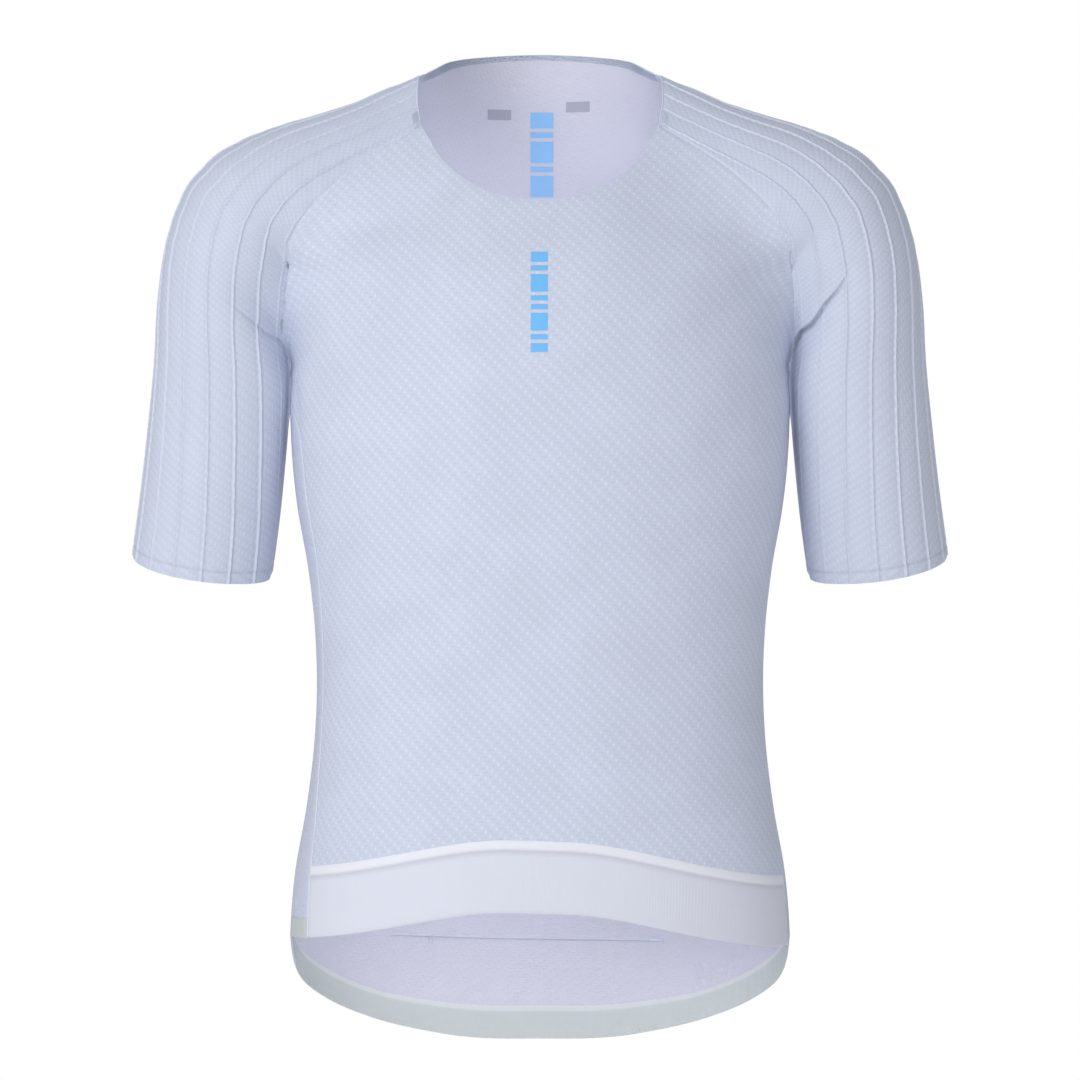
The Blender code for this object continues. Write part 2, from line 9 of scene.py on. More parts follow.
import bpy
import numpy as np
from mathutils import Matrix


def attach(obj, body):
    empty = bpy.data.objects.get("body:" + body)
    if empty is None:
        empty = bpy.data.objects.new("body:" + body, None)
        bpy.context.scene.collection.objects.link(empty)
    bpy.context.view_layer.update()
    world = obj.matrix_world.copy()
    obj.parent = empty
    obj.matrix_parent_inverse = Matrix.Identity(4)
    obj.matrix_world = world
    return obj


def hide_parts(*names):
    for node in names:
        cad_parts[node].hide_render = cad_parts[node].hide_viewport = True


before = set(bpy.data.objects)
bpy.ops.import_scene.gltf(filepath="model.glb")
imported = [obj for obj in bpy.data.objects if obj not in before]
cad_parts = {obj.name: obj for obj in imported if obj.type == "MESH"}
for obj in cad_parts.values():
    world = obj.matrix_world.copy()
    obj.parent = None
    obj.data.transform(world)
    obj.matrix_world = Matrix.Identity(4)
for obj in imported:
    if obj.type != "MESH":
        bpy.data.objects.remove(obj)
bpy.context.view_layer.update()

# Cloth
WALL = 0.0012
BAND_WALL = 0.0014
EXPONENT = 2.25  # of the trunk's rings; 2 would be an ellipse
ARM_EXPONENT = 2.1
TRUNK_HALF = 0.17
SEAM_ROLL = 0.0007  # how far the cloth turns in along a seam
SEAM_SOFT = 0.0016
EDGE_BLEND = 0.008  # how far in from its sides a panel's directions are led by its seams

# Ribs of the sleeves
RIB_PITCH = 0.0185
RIB_HALF = 0.0007
RIB_HEIGHT = 0.0009
RIB_FADE = 0.65  # how much of its height a rib loses where it hardly shows
RIB_DIP = 0.0018  # from the crest to the shallow dip beside it
RIB_COLUMNS = (-0.125, -0.095, -0.06, -0.034, -0.016, 0, 0.016, 0.034, 0.06, 0.095, 0.125)

# Hems and bands
FRONT_HEM_CENTRE = -0.5775
FRONT_HEM_DROP = 0.0255
FRONT_HEM_TURN = (8, 82)  # degrees round from the middle between which it drops
FRONT_HEM_FLATNESS = 1.15
FRONT_BAND_HEIGHT = 0.049
BOND_STRIP_HEIGHT = 0.006
BOND_STRIP_RISE = 0.0006
HEM_TILT = -0.020  # how far the front hem falls per metre towards the wearer's left
SEAM_TWIST = 0.012  # the side seams sit this much round to the wearer's left

# Back pockets
POCKET_TOP = -0.455
POCKET_BASE = -0.613
POCKET_TURN = 0.004  # of the patch's cloth below its base seam
POCKET_HALF = 0.6  # of the back panel's half width
POCKET_MARGIN = 0.002  # past that, where columns still count as the patch's
POCKET_SLANT_FROM = 0.3  # the mouth falls towards its ends from this share of its half width
POCKET_SLANT = 0.026
POCKET_LIFT = 0.0013  # of the patch's outer face off the back
POCKET_HEM = (0.013, 0.0115)  # how far below the mouth its hem ends
POCKET_HEM_LIFT = 0.0004
POCKET_BAG = 0.0016  # how much farther the pockets' bags stand out
POCKET_DIVIDES = (-0.2, 0.2)  # of the back panel's half width
GRIP_HEIGHT = 0.024
NECK_TRIM_HEIGHT = 0.0125
SLEEVE_ROUND = 0.36  # the flat sleeve's width
STITCH = (0.0022, 0.0012)  # a pocket stitch's length and the gap after it

SNUG = 0.00065  # how far sleeve and body swell towards each other below the underarm
SNUG_TOP = -0.205
SNUG_FOOT = (-0.247, -0.229)
SNUG_SIDES = (0.155, 0.172)  # how far across the body it sets in
SNUG_SLEEVES = (0.190, 0.179)
SHINE = 0.13  # how strongly the cloth glows where it glows most: a painted glow standing in for light through the cloth
SHINE_MORE = 0.35  # how much stronger the painted glow is on the wearer's right
SHINE_GAP = (0.006, 0.001)  # between sleeve and body, where the painted glow is none and where it is most
SHINE_TOP = (-0.18, -0.222)  # heights between which it sets in
SHINE_FOOT = (-0.30, -0.25)
SEAM_FLARE = 7.0  # degrees over which a body panel runs out to a raglan seam at the armpit
FLARE_TOP = (-0.135, -0.105)
SQUARED = 0.0042  # how much fuller than an oval the sleeves are ahead of and behind their inner line

# Grids
PANEL_COLUMNS = 140
PANEL_EDGE = (0.997, 0.992, 0.985, 0.976)
GATHERED = (-0.73, -0.49)  # the part of the back panel's width that its elastic gathers
PLAIN = np.linspace(-0.964, 0.964, PANEL_COLUMNS - 9)
PLAIN = PLAIN[(PLAIN < GATHERED[0] - 0.005) | (PLAIN > GATHERED[1] + 0.005)]
EDGES = [-1, 1, *PANEL_EDGE, *(-at for at in PANEL_EDGE)]
ACROSS = np.array(sorted([*EDGES, *PLAIN, *np.linspace(*GATHERED, 54)]))
BELOW_ROWS = 96
SLEEVE_ROWS = 124
CUFF_LINE = 0.0070  # the bonded hem's line above the cuff's edge
HEAD_STEP = 0.0034
KNIT_LEVELS = (-0.72, 0.03)  # heights between which the body's knit is laid out
KNIT_ROWS = 101
KNIT_TURN = 120  # degrees either way from a panel's middle that it is laid out over
PROBE = 0.0008  # step that the form's slope is taken over
HALVINGS = 26  # of a ray, until its end is near enough to the form
REACH = 0.3  # farther from the middle than any of the cloth
LEVEL = 1e-4  # lengths this near each other count as the same
SAME = 1e-6  # so do places round the sleeve


def table(columns, rows):
    """A table with named columns, as arrays."""
    return dict(zip(columns.split(), np.array(rows, float).T))


# Rings of the trunk, from the back hem up to where the shoulders close over it.
TRUNK = table("z half front back", [
    (-0.7, 0.1735, 0.103, 0.112),
    (-0.645, 0.1745, 0.104, 0.114),
    (-0.602, 0.1747, 0.105, 0.113),
    (-0.557, 0.1712, 0.106, 0.108),
    (-0.513, 0.1635, 0.106, 0.1),
    (-0.468, 0.1579, 0.106, 0.093),
    (-0.434, 0.1561, 0.107, 0.089),
    (-0.389, 0.1572, 0.109, 0.088),
    (-0.345, 0.162, 0.112, 0.092),
    (-0.3, 0.1698, 0.116, 0.099),
    (-0.266, 0.1733, 0.118, 0.104),
    (-0.244, 0.1743, 0.119, 0.107),
    (-0.212, 0.173, 0.118, 0.11),
    (-0.17, 0.166, 0.113, 0.111),
    (-0.12, 0.148, 0.097, 0.107),
    (-0.08, 0.122, 0.076, 0.096),
    (-0.04, 0.085, 0.046, 0.074),
    (0, 0.03, 0.014, 0.03),
])

# The tube of shoulder and arm: its axis, half its height across the axis, and its depths along Y.
ARM = table("x z up front back shift", [
    (0, -0.055, 0.06, 0.03, 0.046, 0),
    (0.05, -0.058, 0.06, 0.032, 0.048, 0),
    (0.08, -0.064, 0.06, 0.036, 0.05, 0),
    (0.11, -0.074, 0.058, 0.046, 0.054, 0),
    (0.14, -0.083, 0.057, 0.054, 0.057, 0),
    (0.17, -0.09, 0.055, 0.059, 0.06, 0),
    (0.2, -0.1, 0.0505, 0.06, 0.061, 0),
    (0.213, -0.126, 0.049, 0.06, 0.06, 0.001),
    (0.219, -0.16, 0.0482, 0.059, 0.059, 0.003),
    (0.2217, -0.2, 0.0478, 0.057, 0.057, 0.006),
    (0.2265, -0.25, 0.0482, 0.054, 0.054, 0.011),
    (0.233, -0.3, 0.048, 0.052, 0.052, 0.017),
    (0.24, -0.345, 0.0478, 0.05, 0.05, 0.023),
    (0.249, -0.4, 0.0478, 0.05, 0.05, 0.03),
])
ARM_STEPS = 42

# The base of the neck, which lifts the cloth behind and beside it.
NECK_HALF = 0.060
NECK_DEPTH = 0.060
NECK_SHIFT = 0.010
NECK_FOOT = -0.09
NECK_BLEND = 0.045

# How softly trunk and arm run into each other, at a height.
BLEND = table("z width", [
    (-0.214, 0.001), (-0.2, 0.008), (-0.18, 0.022), (-0.15, 0.038), (-0.1, 0.048),
])

# Planes across the sleeve at a length along it: where each crosses the sleeve's middle, how far it leans
# out from upright and swings back, where the fourth rib lies round from the top line, how far apart the
# ribs are ahead of rib nought and behind it, and how far past the arm's tube the cloth may lie.
STATIONS = table("s x z lean swing fourth pitch behind room", [
    (-0.03, 0.058, -0.055, -7, 0, 0.02, 0.0145, 0.0145, 0.08),
    (0, 0.085, -0.06, 2, 0, 0.027, 0.0143, 0.0143, 0.08),
    (0.05, 0.122, -0.074, 14, 0, 0.04, 0.0135, 0.0135, 0.07),
    (0.1, 0.158, -0.088, 22, 0, 0.052, 0.0154, 0.0154, 0.05),
    (0.15, 0.19, -0.098, 38, 0, 0.068, 0.017, 0.0166, 0.03),
    (0.195, 0.206, -0.11, 55, 1, 0.072, 0.0192, 0.0168, 0.018),
    (0.24, 0.2145, -0.138, 67.5, 2, 0.075, 0.0192, 0.0174, 0.01),
    (0.297, 0.2205, -0.185, 77, 4, 0.0773, 0.0184, 0.0184, 0.003),
    (0.32, 0.2225, -0.2045, 80.8, 6, 0.0776, 0.0184, 0.0184, 0),
    (0.365, 0.228, -0.262, 81, 9, 0.0802, 0.0189, 0.0189, 0),
    (0.41, 0.234, -0.304, 81, 11, 0.0825, 0.0196, 0.0196, 0),
    (0.447, 0.24, -0.3445, 81, 13, 0.0835, 0.02, 0.02, 0),
])
STATION_COUNT = 160
RAY_COUNT = 241
CUFF = 0.445
UNDERARM = 0.320
UNDERARM_Z = -0.212

# The sleeve's upper edge as it is cut: where round the sleeve, counted in ribs from the back to the front,
# and how far along it. It runs up the back raglan seam, across the neck edge and down the front seam.
HEAD = table("rib s", [
    (-9.25, 0.32), (-8.65, 0.302), (-8.4, 0.28), (-8.3, 0.255), (-8.23, 0.23), (-8.17, 0.205),
    (-8.1, 0.18), (-8, 0.152), (-7.6, 0.1245), (-7.07, 0.1085), (-5.74, 0.0765), (-4.44, 0.051),
    (-2.57, 0.0295), (-0.67, 0.0115), (0.31, 0.001), (1.1, -0.003), (1.85, -0.005), (2.6, -0.002),
    (4.4, -0.001), (6.2, -0.003), (6.27, 0.018), (6.45, 0.046), (6.7, 0.071), (6.9, 0.09),
    (7.06, 0.112), (7.14, 0.14), (7.2, 0.18), (7.26, 0.22), (7.34, 0.25), (7.52, 0.274),
    (7.95, 0.296), (8.79, 0.32),
])
BACK_BAND_FOOT = 1.10  # the neck band reaches down the back raglan seam to here
BACK_CORNER = 1.85
FRONT_CORNER = 6.20
LAST_RIB = 7

# The neck edge and the hems: height at an angle from the middle of the front.
NECK_EDGE = table("angle z", [
    (-14, -0.09), (0, -0.092), (14, -0.09), (27, -0.084), (38, -0.075), (49, -0.062), (62, -0.04),
    (78, -0.015), (93, 0.0025), (102, 0.008), (110, 0.0122), (125, 0.0165), (140, 0.0194),
    (180, 0.0234), (220, 0.0194),
])
BACK_HEM = table("angle z height", [
    (74, -0.5995, 0.014), (84, -0.601, 0.014), (90, -0.605, 0.016), (97, -0.6255, 0.02),
    (111, -0.6505, 0.021), (127, -0.67, 0.021), (146, -0.6825, 0.023), (180, -0.687, 0.024),
    (214, -0.6825, 0.023),
])
# Side seams: how far ahead of the widest line they run.
SIDE_SEAM = table("z ahead", [
    (-0.7, 0.036), (-0.602, 0.036), (-0.55, 0.033), (-0.468, 0.022), (-0.4, 0.024), (-0.3, 0.032),
    (-0.24, 0.024), (-0.212, 0),
])

# Soft troughs where a sleeve folds at the armpit, on the front and on the back.
ARMPIT_FOLD = table("x z depth width", [
    (0.214, -0.142, 0, 0.02),
    (0.203, -0.151, 0.003, 0.017),
    (0.193, -0.162, 0.006, 0.014),
    (0.183, -0.176, 0.0075, 0.012),
    (0.178, -0.194, 0.005, 0.01),
    (0.175, -0.21, 0, 0.008),
])

# The sharp fold across each sleeve at the armpit, where the shoulder's cloth hangs over the arm's. It is
# given round the sleeve, in ribs, by how far along the sleeve it lies and how deep the arm's cloth sinks.
SLEEVE_FOLD = table("rib left left_depth right right_depth", [
    (-9.25, 0.32, 0, 0.32, 0),
    (-8.65, 0.308, 0.001, 0.3075, 0.001),
    (-8.4, 0.293, 0.0018, 0.295, 0.0016),
    (-8, 0.283, 0.0024, 0.286, 0.002),
    (-7.2, 0.273, 0.0022, 0.277, 0.0018),
    (-6.4, 0.262, 0.0012, 0.268, 0.001),
    (-5.6, 0.25, 0, 0.259, 0),
    (4.85, 0.239, 0, 0.2625, 0),
    (5.125, 0.2463, 0.0014, 0.266, 0.0006),
    (5.875, 0.259, 0.0032, 0.274, 0.0013),
    (6.466, 0.2705, 0.0038, 0.2805, 0.0015),
    (7.213, 0.2775, 0.0042, 0.285, 0.0016),
    (7.6, 0.285, 0.0042, 0.29, 0.0017),
    (7.85, 0.293, 0.0036, 0.2985, 0.0016),
    (8.4, 0.31, 0.0016, 0.313, 0.001),
    (8.79, 0.32, 0, 0.32, 0),
])
FOLD_LIP = 0.0010
FOLD_REACH = 0.0036
FOLD_DARK = 0.0048  # the fold's depth from which the painted shade in it is darkest

# Creases: which one, where across and up, how deep and how wide, on the front (-1) or the back (1).
CREASES = table("crease face x z depth width", [
    (1, -1, -0.169, -0.208, 0, 0.003),
    (1, -1, -0.1685, -0.222, 0.0014, 0.0028),
    (1, -1, -0.168, -0.24, 0.0011, 0.003),
    (1, -1, -0.168, -0.262, 0, 0.003),
    (2, -1, 0.156, -0.225, 0, 0.012),
    (2, -1, 0.135, -0.248, 0.0014, 0.014),
    (2, -1, 0.105, -0.266, 0, 0.015),
    (3, -1, -0.152, -0.233, 0, 0.012),
    (3, -1, -0.128, -0.248, 0.0012, 0.013),
    (3, -1, -0.1, -0.256, 0, 0.015),
    (4, 1, -0.09, -0.405, 0, 0.012),
    (4, 1, -0.02, -0.412, 0.0016, 0.011),
    (4, 1, 0.06, -0.406, 0.0012, 0.012),
    (4, 1, 0.11, -0.396, 0, 0.012),
    (5, 1, -0.05, -0.439, 0, 0.011),
    (5, 1, 0.01, -0.437, 0.0014, 0.01),
    (5, 1, 0.07, -0.442, 0, 0.011),
    (6, 1, 0.116, -0.656, 0, 0.0019),
    (6, 1, 0.1148, -0.642, 0.0013, 0.0019),
    (6, 1, 0.1135, -0.622, 0, 0.0018),
    (7, 1, 0.1236, -0.652, 0, 0.0018),
    (7, 1, 0.1225, -0.638, 0.0015, 0.0018),
    (7, 1, 0.1213, -0.621, 0, 0.0016),
    (8, 1, 0.1282, -0.65, 0, 0.0014),
    (8, 1, 0.1276, -0.642, 0.001, 0.0014),
    (8, 1, 0.127, -0.632, 0, 0.0014),
    (9, 1, 0.1318, -0.649, 0, 0.0016),
    (9, 1, 0.1335, -0.636, 0.0016, 0.0016),
    (9, 1, 0.1356, -0.62, 0, 0.0016),
    (10, 1, 0.1382, -0.643, 0, 0.0017),
    (10, 1, 0.1402, -0.63, 0.0016, 0.0017),
    (10, 1, 0.1425, -0.613, 0, 0.0017),
    (11, 1, 0.146, -0.638, 0, 0.0018),
    (11, 1, 0.1492, -0.625, 0.0013, 0.0018),
    (11, 1, 0.1528, -0.61, 0, 0.0018),
])

# The pockets' base seam, seen from inside the back.
POCKET_SEAM = table("x z", [(-0.108, -0.6104), (-0.060, -0.6132), (0.000, -0.6150), (0.087, -0.6155)])
# Threads and edgings: half the width over the cloth, half the height out of it, and how many sides they have.
CORDS = {
    "side_seams": (0.0008, 0.0006, 8),
    "neck_edging": (0.0004, 0.0004, 8),
    "sleeve_edging": (0.0005, 0.0005, 8),
    "overlock": (0.00026, 0.0003, 6),
    "pocket_stitches": (0.0003, 0.00025, 6),
    "bar_tacks": (0.0004, 0.0004, 6),
    "pocket_seam_inside": (0.00035, 0.0003, 6),
    "pocket_seam_edge": (0.00035, 0.0003, 6),
}
NECK_EDGING_DEPTH = 0.0009  # how far in from the cloth's outer face the front's neck edging lies
EDGING_DEPTH = 0.0006  # and those of the back and the sleeves
TACK_COLUMNS = (-0.0823, -0.0808, -0.0793, -0.0778)  # upright threads of one bar tack
TACK_HEIGHTS = (-0.6165, -0.6130)
TACK_SPAN = (0.0800, 0.0890)  # level threads of the other
TACK_LEVEL = -0.6150
TACK_RISES = (0, 0.0007, 0.0014)
TACK_LIFT = 0.0006  # how far off the inner face the bar tacks' threads lie
EDGE_STEP = 0.003  # between points of the neck's edging
OVERLOCK = (5.25, 6.15)  # ribs between which loose loops of the neck's overlock thread show

# Prints
PRINT_WALL = 0.0001
PRINT_LIFT = 0.00012  # of a print's near side off the cloth
INNER_PRINT_LIFT = -WALL - 0.00022
CHEST_COLUMN = (-0.0062, 0.0052)
NAPE_COLUMN = (-0.0070, 0.0096)
LABEL_BLOCKS = [(-0.038, -0.021, -0.0235, -0.0165), (0.019, 0.036, -0.0180, -0.0110)]

OVERLOCK_TURNS = 26
OVERLOCK_DEPTHS = (0.0046, 0.0006)  # how far down from the neck edge its loops turn, low and high

# Plain bars printed in a column: the height of each one's top, and how tall it is.
CHEST_BARS = [(-0.1300, 0.0070), (-0.1395, 0.0035), (-0.1455, 0.0120), (-0.1600, 0.0035), (-0.1660, 0.0035),
              (-0.1720, 0.0120), (-0.1865, 0.0035), (-0.1925, 0.0060)]
NAPE_BARS = [(-0.0180, 0.0110), (-0.0315, 0.0040), (-0.0380, 0.0150), (-0.0555, 0.0040), (-0.0620, 0.0150)]


# --- Curves -----------------------------------------------------------------------------------------


def hill(distance, width):
    """A bell curve, 1 at no distance."""
    return np.exp(-((distance / width) ** 2))


def unit(vectors):
    return vectors / np.linalg.norm(vectors, axis=-1, keepdims=True)


def summed(steps, axis=0):
    """Running sums of steps, from nought."""
    return np.insert(np.cumsum(steps, axis=axis), 0, 0, axis=axis)


def run_of(path):
    """Distances along a path at its points."""
    return summed(np.linalg.norm(np.diff(path, axis=0), axis=1))


def curve(knots, values, slopes, at):
    """A smooth curve through values at knots, with these slopes there."""
    i = np.clip(np.searchsorted(knots, at) - 1, 0, len(knots) - 2)
    span = knots[i + 1] - knots[i]
    t = (at - knots[i]) / span
    start = (1 + 2 * t) * (1 - t) ** 2 * values[i] + t * (1 - t) ** 2 * span * slopes[i]
    end = t * t * (3 - 2 * t) * values[i + 1] + t * t * (t - 1) * span * slopes[i + 1]
    return start + end


def read(rows, column, at, key):
    """A column of a table, read smoothly at values of its key column and level past its ends."""
    knots, values = rows[key], rows[column]
    return curve(knots, values, np.gradient(values, knots), np.clip(at, knots[0], knots[-1]))


def along(rows, columns, count):
    """A smooth path through a table's rows, evenly spaced by their straight distance."""
    x, z = rows["x"], rows["z"]
    run = summed(np.hypot(np.diff(x), np.diff(z)))
    at = np.linspace(0, run[-1], count)
    placed = {**rows, "run": run}
    return {name: read(placed, name, at, "run") for name in columns}


def evenly(path, step):
    """The path again in even steps of about this length."""
    run = run_of(path)
    at = np.linspace(0, run[-1], max(int(run[-1] / step), 1) + 1)
    return np.stack([np.interp(at, run, path[:, axis]) for axis in range(path.shape[1])], axis=1)


def smoothstep(low, high, value):
    t = np.clip((value - low) / (high - low), 0, 1)
    return t * t * (3 - 2 * t)


def mix(first, second, share):
    return first + (second - first) * share


def grid_at(grid, row, column):
    """What a grid of points holds at places between its rows and columns."""
    row, column = (np.clip(at, 0, size - 1.001) for at, size in zip((row, column), grid.shape))
    i, j = row.astype(int), column.astype(int)
    low, high = (mix(grid[line, j], grid[line, j + 1], (column - j)[..., None]) for line in (i, i + 1))
    return mix(low, high, (row - i)[..., None])


# --- The form ---------------------------------------------------------------------------------------


def ring_distance(across, depth, half, reach, exponent):
    """Roughly how far a point lies outside a rounded ring, negative inside it."""
    across = np.maximum(np.abs(across), 1e-6)
    depth = np.abs(depth)
    ratio = ((across / half) ** exponent + (depth / reach) ** exponent) ** (1 / exponent)
    return np.hypot(across, depth) * (1 - 1 / ratio)


def soft_union(first, second, width):
    """The nearer of two surfaces, run together where they are within the width."""
    near = np.maximum(width - np.abs(first - second), 0)
    return np.minimum(first, second) - near * near / (4 * width)


def trunk_distance(p):
    z = p[:, 2]
    front, back, half = (read(TRUNK, name, z, "z") for name in ("front", "back", "half"))
    return ring_distance(p[:, 0], p[:, 1], half, np.where(p[:, 1] < 0, front, back), EXPONENT)


ARM_PATH = along(ARM, ("x", "z", "up", "front", "back", "shift"), ARM_STEPS)


def arm_distance(p):
    path = ARM_PATH
    start = np.stack([path["x"][:-1], path["z"][:-1]], axis=1)
    step = np.stack([np.diff(path["x"]), np.diff(path["z"])], axis=1)
    spot = np.stack([np.abs(p[:, 0]), p[:, 2]], axis=1)[:, None]
    t = np.clip(((spot - start) * step).sum(2) / (step**2).sum(1), 0, 1)
    away = np.linalg.norm(spot - start - t[:, :, None] * step, axis=2)
    here = {name: path[name][:-1] + t * np.diff(path[name]) for name in ("up", "front", "back", "shift")}
    depth = p[:, 1][:, None] - here["shift"]
    reach = np.where(depth < 0, here["front"], here["back"])
    return ring_distance(away, depth, here["up"], reach, ARM_EXPONENT).min(axis=1)


def form_distance(p):
    """The whole figure: trunk, arms and the base of the neck in one skin."""
    width = read(BLEND, "width", p[:, 2], "z")
    body = soft_union(trunk_distance(p), arm_distance(p), width)
    neck = ring_distance(p[:, 0], p[:, 1] - NECK_SHIFT, NECK_HALF, NECK_DEPTH, 2)
    neck = np.maximum(neck, NECK_FOOT - p[:, 2])
    return soft_union(body, neck, NECK_BLEND)


def cast(origin, direction, reach, distance):
    """Where rays from inside the form leave it."""
    near = np.zeros(len(origin))
    far = np.broadcast_to(reach, near.shape).astype(float)
    for _ in range(HALVINGS):
        middle = (near + far) / 2
        inside = distance(origin + direction * middle[:, None]) < 0
        near = np.where(inside, middle, near)
        far = np.where(inside, far, middle)
    return origin + direction * near[:, None]


def trunk_point(angle, z, reach=REACH, distance=form_distance):
    """Points on the form at angles in degrees round from the middle of the front, and heights."""
    angle, z, reach = np.broadcast_arrays(np.asarray(angle, float), z, reach)
    shape = angle.shape
    turn = np.radians(angle.ravel())
    origin = np.stack([0 * turn, 0 * turn, z.ravel()], axis=1)
    direction = np.stack([np.sin(turn), -np.cos(turn), 0 * turn], axis=1)
    return cast(origin, direction, reach.ravel(), distance).reshape(*shape, 3)


def outward(points, distance=form_distance):
    """Directions straight out of the form at points on it."""
    spots = points.reshape(-1, 3)
    slopes = [distance(spots + step) - distance(spots - step) for step in np.eye(3) * PROBE]
    return unit(np.stack(slopes, axis=1)).reshape(points.shape)


def angle_of(points):
    return np.degrees(np.arctan2(points[..., 0], -points[..., 1]))


# --- The sleeve, as lengths along it and ribs round it ------------------------------------------------


def sleeve_rings():
    """Rings of the sleeve: for each plane across it, points and their distances round from the top line."""
    s = np.linspace(STATIONS["s"][0], STATIONS["s"][-1], STATION_COUNT)
    here = {name: read(STATIONS, name, s, "s") for name in ("x", "z", "lean", "swing", "room")}
    lean, swing, zero = np.radians(here["lean"]), np.radians(here["swing"]), np.zeros_like(s)
    shift = np.interp(-here["z"], -ARM["z"], ARM["shift"])
    middle = np.stack([here["x"], shift, here["z"]], axis=1)
    out = np.stack([np.sin(lean), zero, np.cos(lean)], axis=1)
    ahead = np.stack([zero, -np.cos(swing), -np.sin(swing)], axis=1)
    turn = np.linspace(-math.pi, math.pi, RAY_COUNT)[:, None]
    rays = np.cos(turn) * out[:, None] + np.sin(turn) * ahead[:, None]
    rays = unit(rays).reshape(-1, 3)
    starts = np.repeat(middle, RAY_COUNT, axis=0)
    tube = cast(starts, rays, 0.14, arm_distance)
    room = np.repeat(here["room"], RAY_COUNT)
    reach = np.linalg.norm(tube - starts, axis=1) + room
    cloth = cast(starts, rays, reach, form_distance)
    points = np.where(room[:, None] > LEVEL, cloth, tube).reshape(STATION_COUNT, RAY_COUNT, 3)
    run = summed(np.linalg.norm(np.diff(points, axis=1), axis=2), axis=1)
    run -= run[:, RAY_COUNT // 2][:, None]
    fourth, pitch, behind = (read(STATIONS, name, s, "s")[:, None] for name in ("fourth", "pitch", "behind"))
    past = run - (fourth - 4 * pitch)
    return s, np.where(past > 0, past / pitch, past / behind), points


RING_S, RING_RIBS, RING_POINTS = sleeve_rings()
RIB_GRID = np.arange(-9.6, 9.2, 0.02)
RING_GRID = np.array(
    [
        np.stack([np.interp(RIB_GRID, ribs, points[:, axis]) for axis in range(3)], axis=1)
        for ribs, points in zip(RING_RIBS, RING_POINTS)
    ]
)


def sleeve_points(s, rib):
    """Points of the sleeve at lengths along it and places round it."""
    row = (s - RING_S[0]) / (RING_S[1] - RING_S[0])
    return grid_at(RING_GRID, row, (rib - RIB_GRID[0]) / (RIB_GRID[1] - RIB_GRID[0]))


def head_s(rib):
    """How far along the sleeve its cut edge lies, smoothly through the table and never past its rows."""
    knots, values = HEAD["rib"], HEAD["s"]
    slopes = np.diff(values) / np.diff(knots)
    bends = np.where(slopes[1:] * slopes[:-1] > 0, 2 / (1 / slopes[1:] + 1 / slopes[:-1]), 0)
    return curve(knots, values, np.concatenate([slopes[:1], bends, slopes[-1:]]), rib)


def rib_rise(rib):
    """How high the cloth stands at a place round the sleeve, with a shallow dip beside each rib."""
    away = np.abs(rib - np.clip(np.round(rib), -LAST_RIB, LAST_RIB)) * RIB_PITCH
    return hill(away, RIB_HALF) - 0.25 * hill(away - RIB_DIP, RIB_HALF)


def sleeve_columns():
    """Places round the cut edge where lines run down the sleeve: even along it, and close by each rib."""
    fine = np.linspace(HEAD["rib"][0], HEAD["rib"][-1], 6000)
    edge = sleeve_points(head_s(fine), fine)
    run = run_of(edge)
    even = np.interp(np.arange(HEAD_STEP, run[-1], HEAD_STEP), run, fine)
    ribs = (np.arange(-LAST_RIB, LAST_RIB + 1)[:, None] + np.array(RIB_COLUMNS)).ravel()
    kept = [at for at in even if np.abs(ribs - at).min() > 0.02]
    corners = [BACK_BAND_FOOT, BACK_CORNER, FRONT_CORNER, HEAD["rib"][-1]]
    kept = [at for at in kept if min(abs(at - corner) for corner in corners) > 0.03]
    return np.array(sorted([*ribs, *kept, *corners]))


def sleeve_grid(columns, fold):
    """The sleeve's lengths, places and points, from the cut edge to the cuff, closest by its sharp fold."""
    start = head_s(columns)
    s = start + (CUFF - start) * np.linspace(0, 1, 1500)[:, None]
    close = 7 * hill(s - fold, 0.005) + 5 * np.exp((start - s) / 0.0015)
    close += 5 * hill(CUFF - s - CUFF_LINE, 0.0016) + 4 * np.exp((s - CUFF) / 0.0012)
    run = np.cumsum((1 + close) * (CUFF - start), axis=0)
    run = (run - run[0]) / (run[-1] - run[0])
    even = np.linspace(0, 1, SLEEVE_ROWS + 1)
    s = np.stack([np.interp(even, run[:, i], s[:, i]) for i in range(len(columns))], axis=1)
    rib = np.broadcast_to(columns, s.shape).copy()
    for end in (0, -1):
        last = math.copysign(LAST_RIB + 0.07, HEAD["rib"][end])
        under = np.interp(np.maximum(s, UNDERARM), RING_S, RING_RIBS[:, end])
        beyond = (columns - last) * np.sign(last) > 0
        tapered = last + (columns - last) / (HEAD["rib"][end] - last) * (under - last)
        rib[:, beyond] = tapered[:, beyond]
    return s, rib, sleeve_points(s, rib)


def from_cut_edge(s, rib):
    """How far over the cloth places of the sleeve lie from its cut edge."""
    fine = np.linspace(HEAD["rib"][0], HEAD["rib"][-1], 12000)
    edge = evenly(np.stack([fine * RIB_PITCH, head_s(fine)], axis=1), 0.0009)
    spots = np.stack([rib * RIB_PITCH, s], axis=-1)
    return np.array([np.linalg.norm(row[:, None] - edge, axis=2).min(axis=1) for row in spots])


def past_fold(s, rib, name):
    """How far past the sharp fold's line places of the sleeve lie, and how deep it is there."""
    line = read(SLEEVE_FOLD, name, rib, "rib")
    slope = (read(SLEEVE_FOLD, name, rib + 0.01, "rib") - line) / (0.01 * RIB_PITCH)
    return (s - line) / np.hypot(1, slope), np.maximum(read(SLEEVE_FOLD, name + "_depth", rib, "rib"), 0)


def fold_shade(s, rib, name):
    """How much painted shade darkens the cloth's colour at the bottom of the sharp fold, from 0 to 1."""
    past, deep = past_fold(s, rib, name)
    return smoothstep(0, FOLD_DARK, deep) * hill(past - 0.0007, 0.0016)


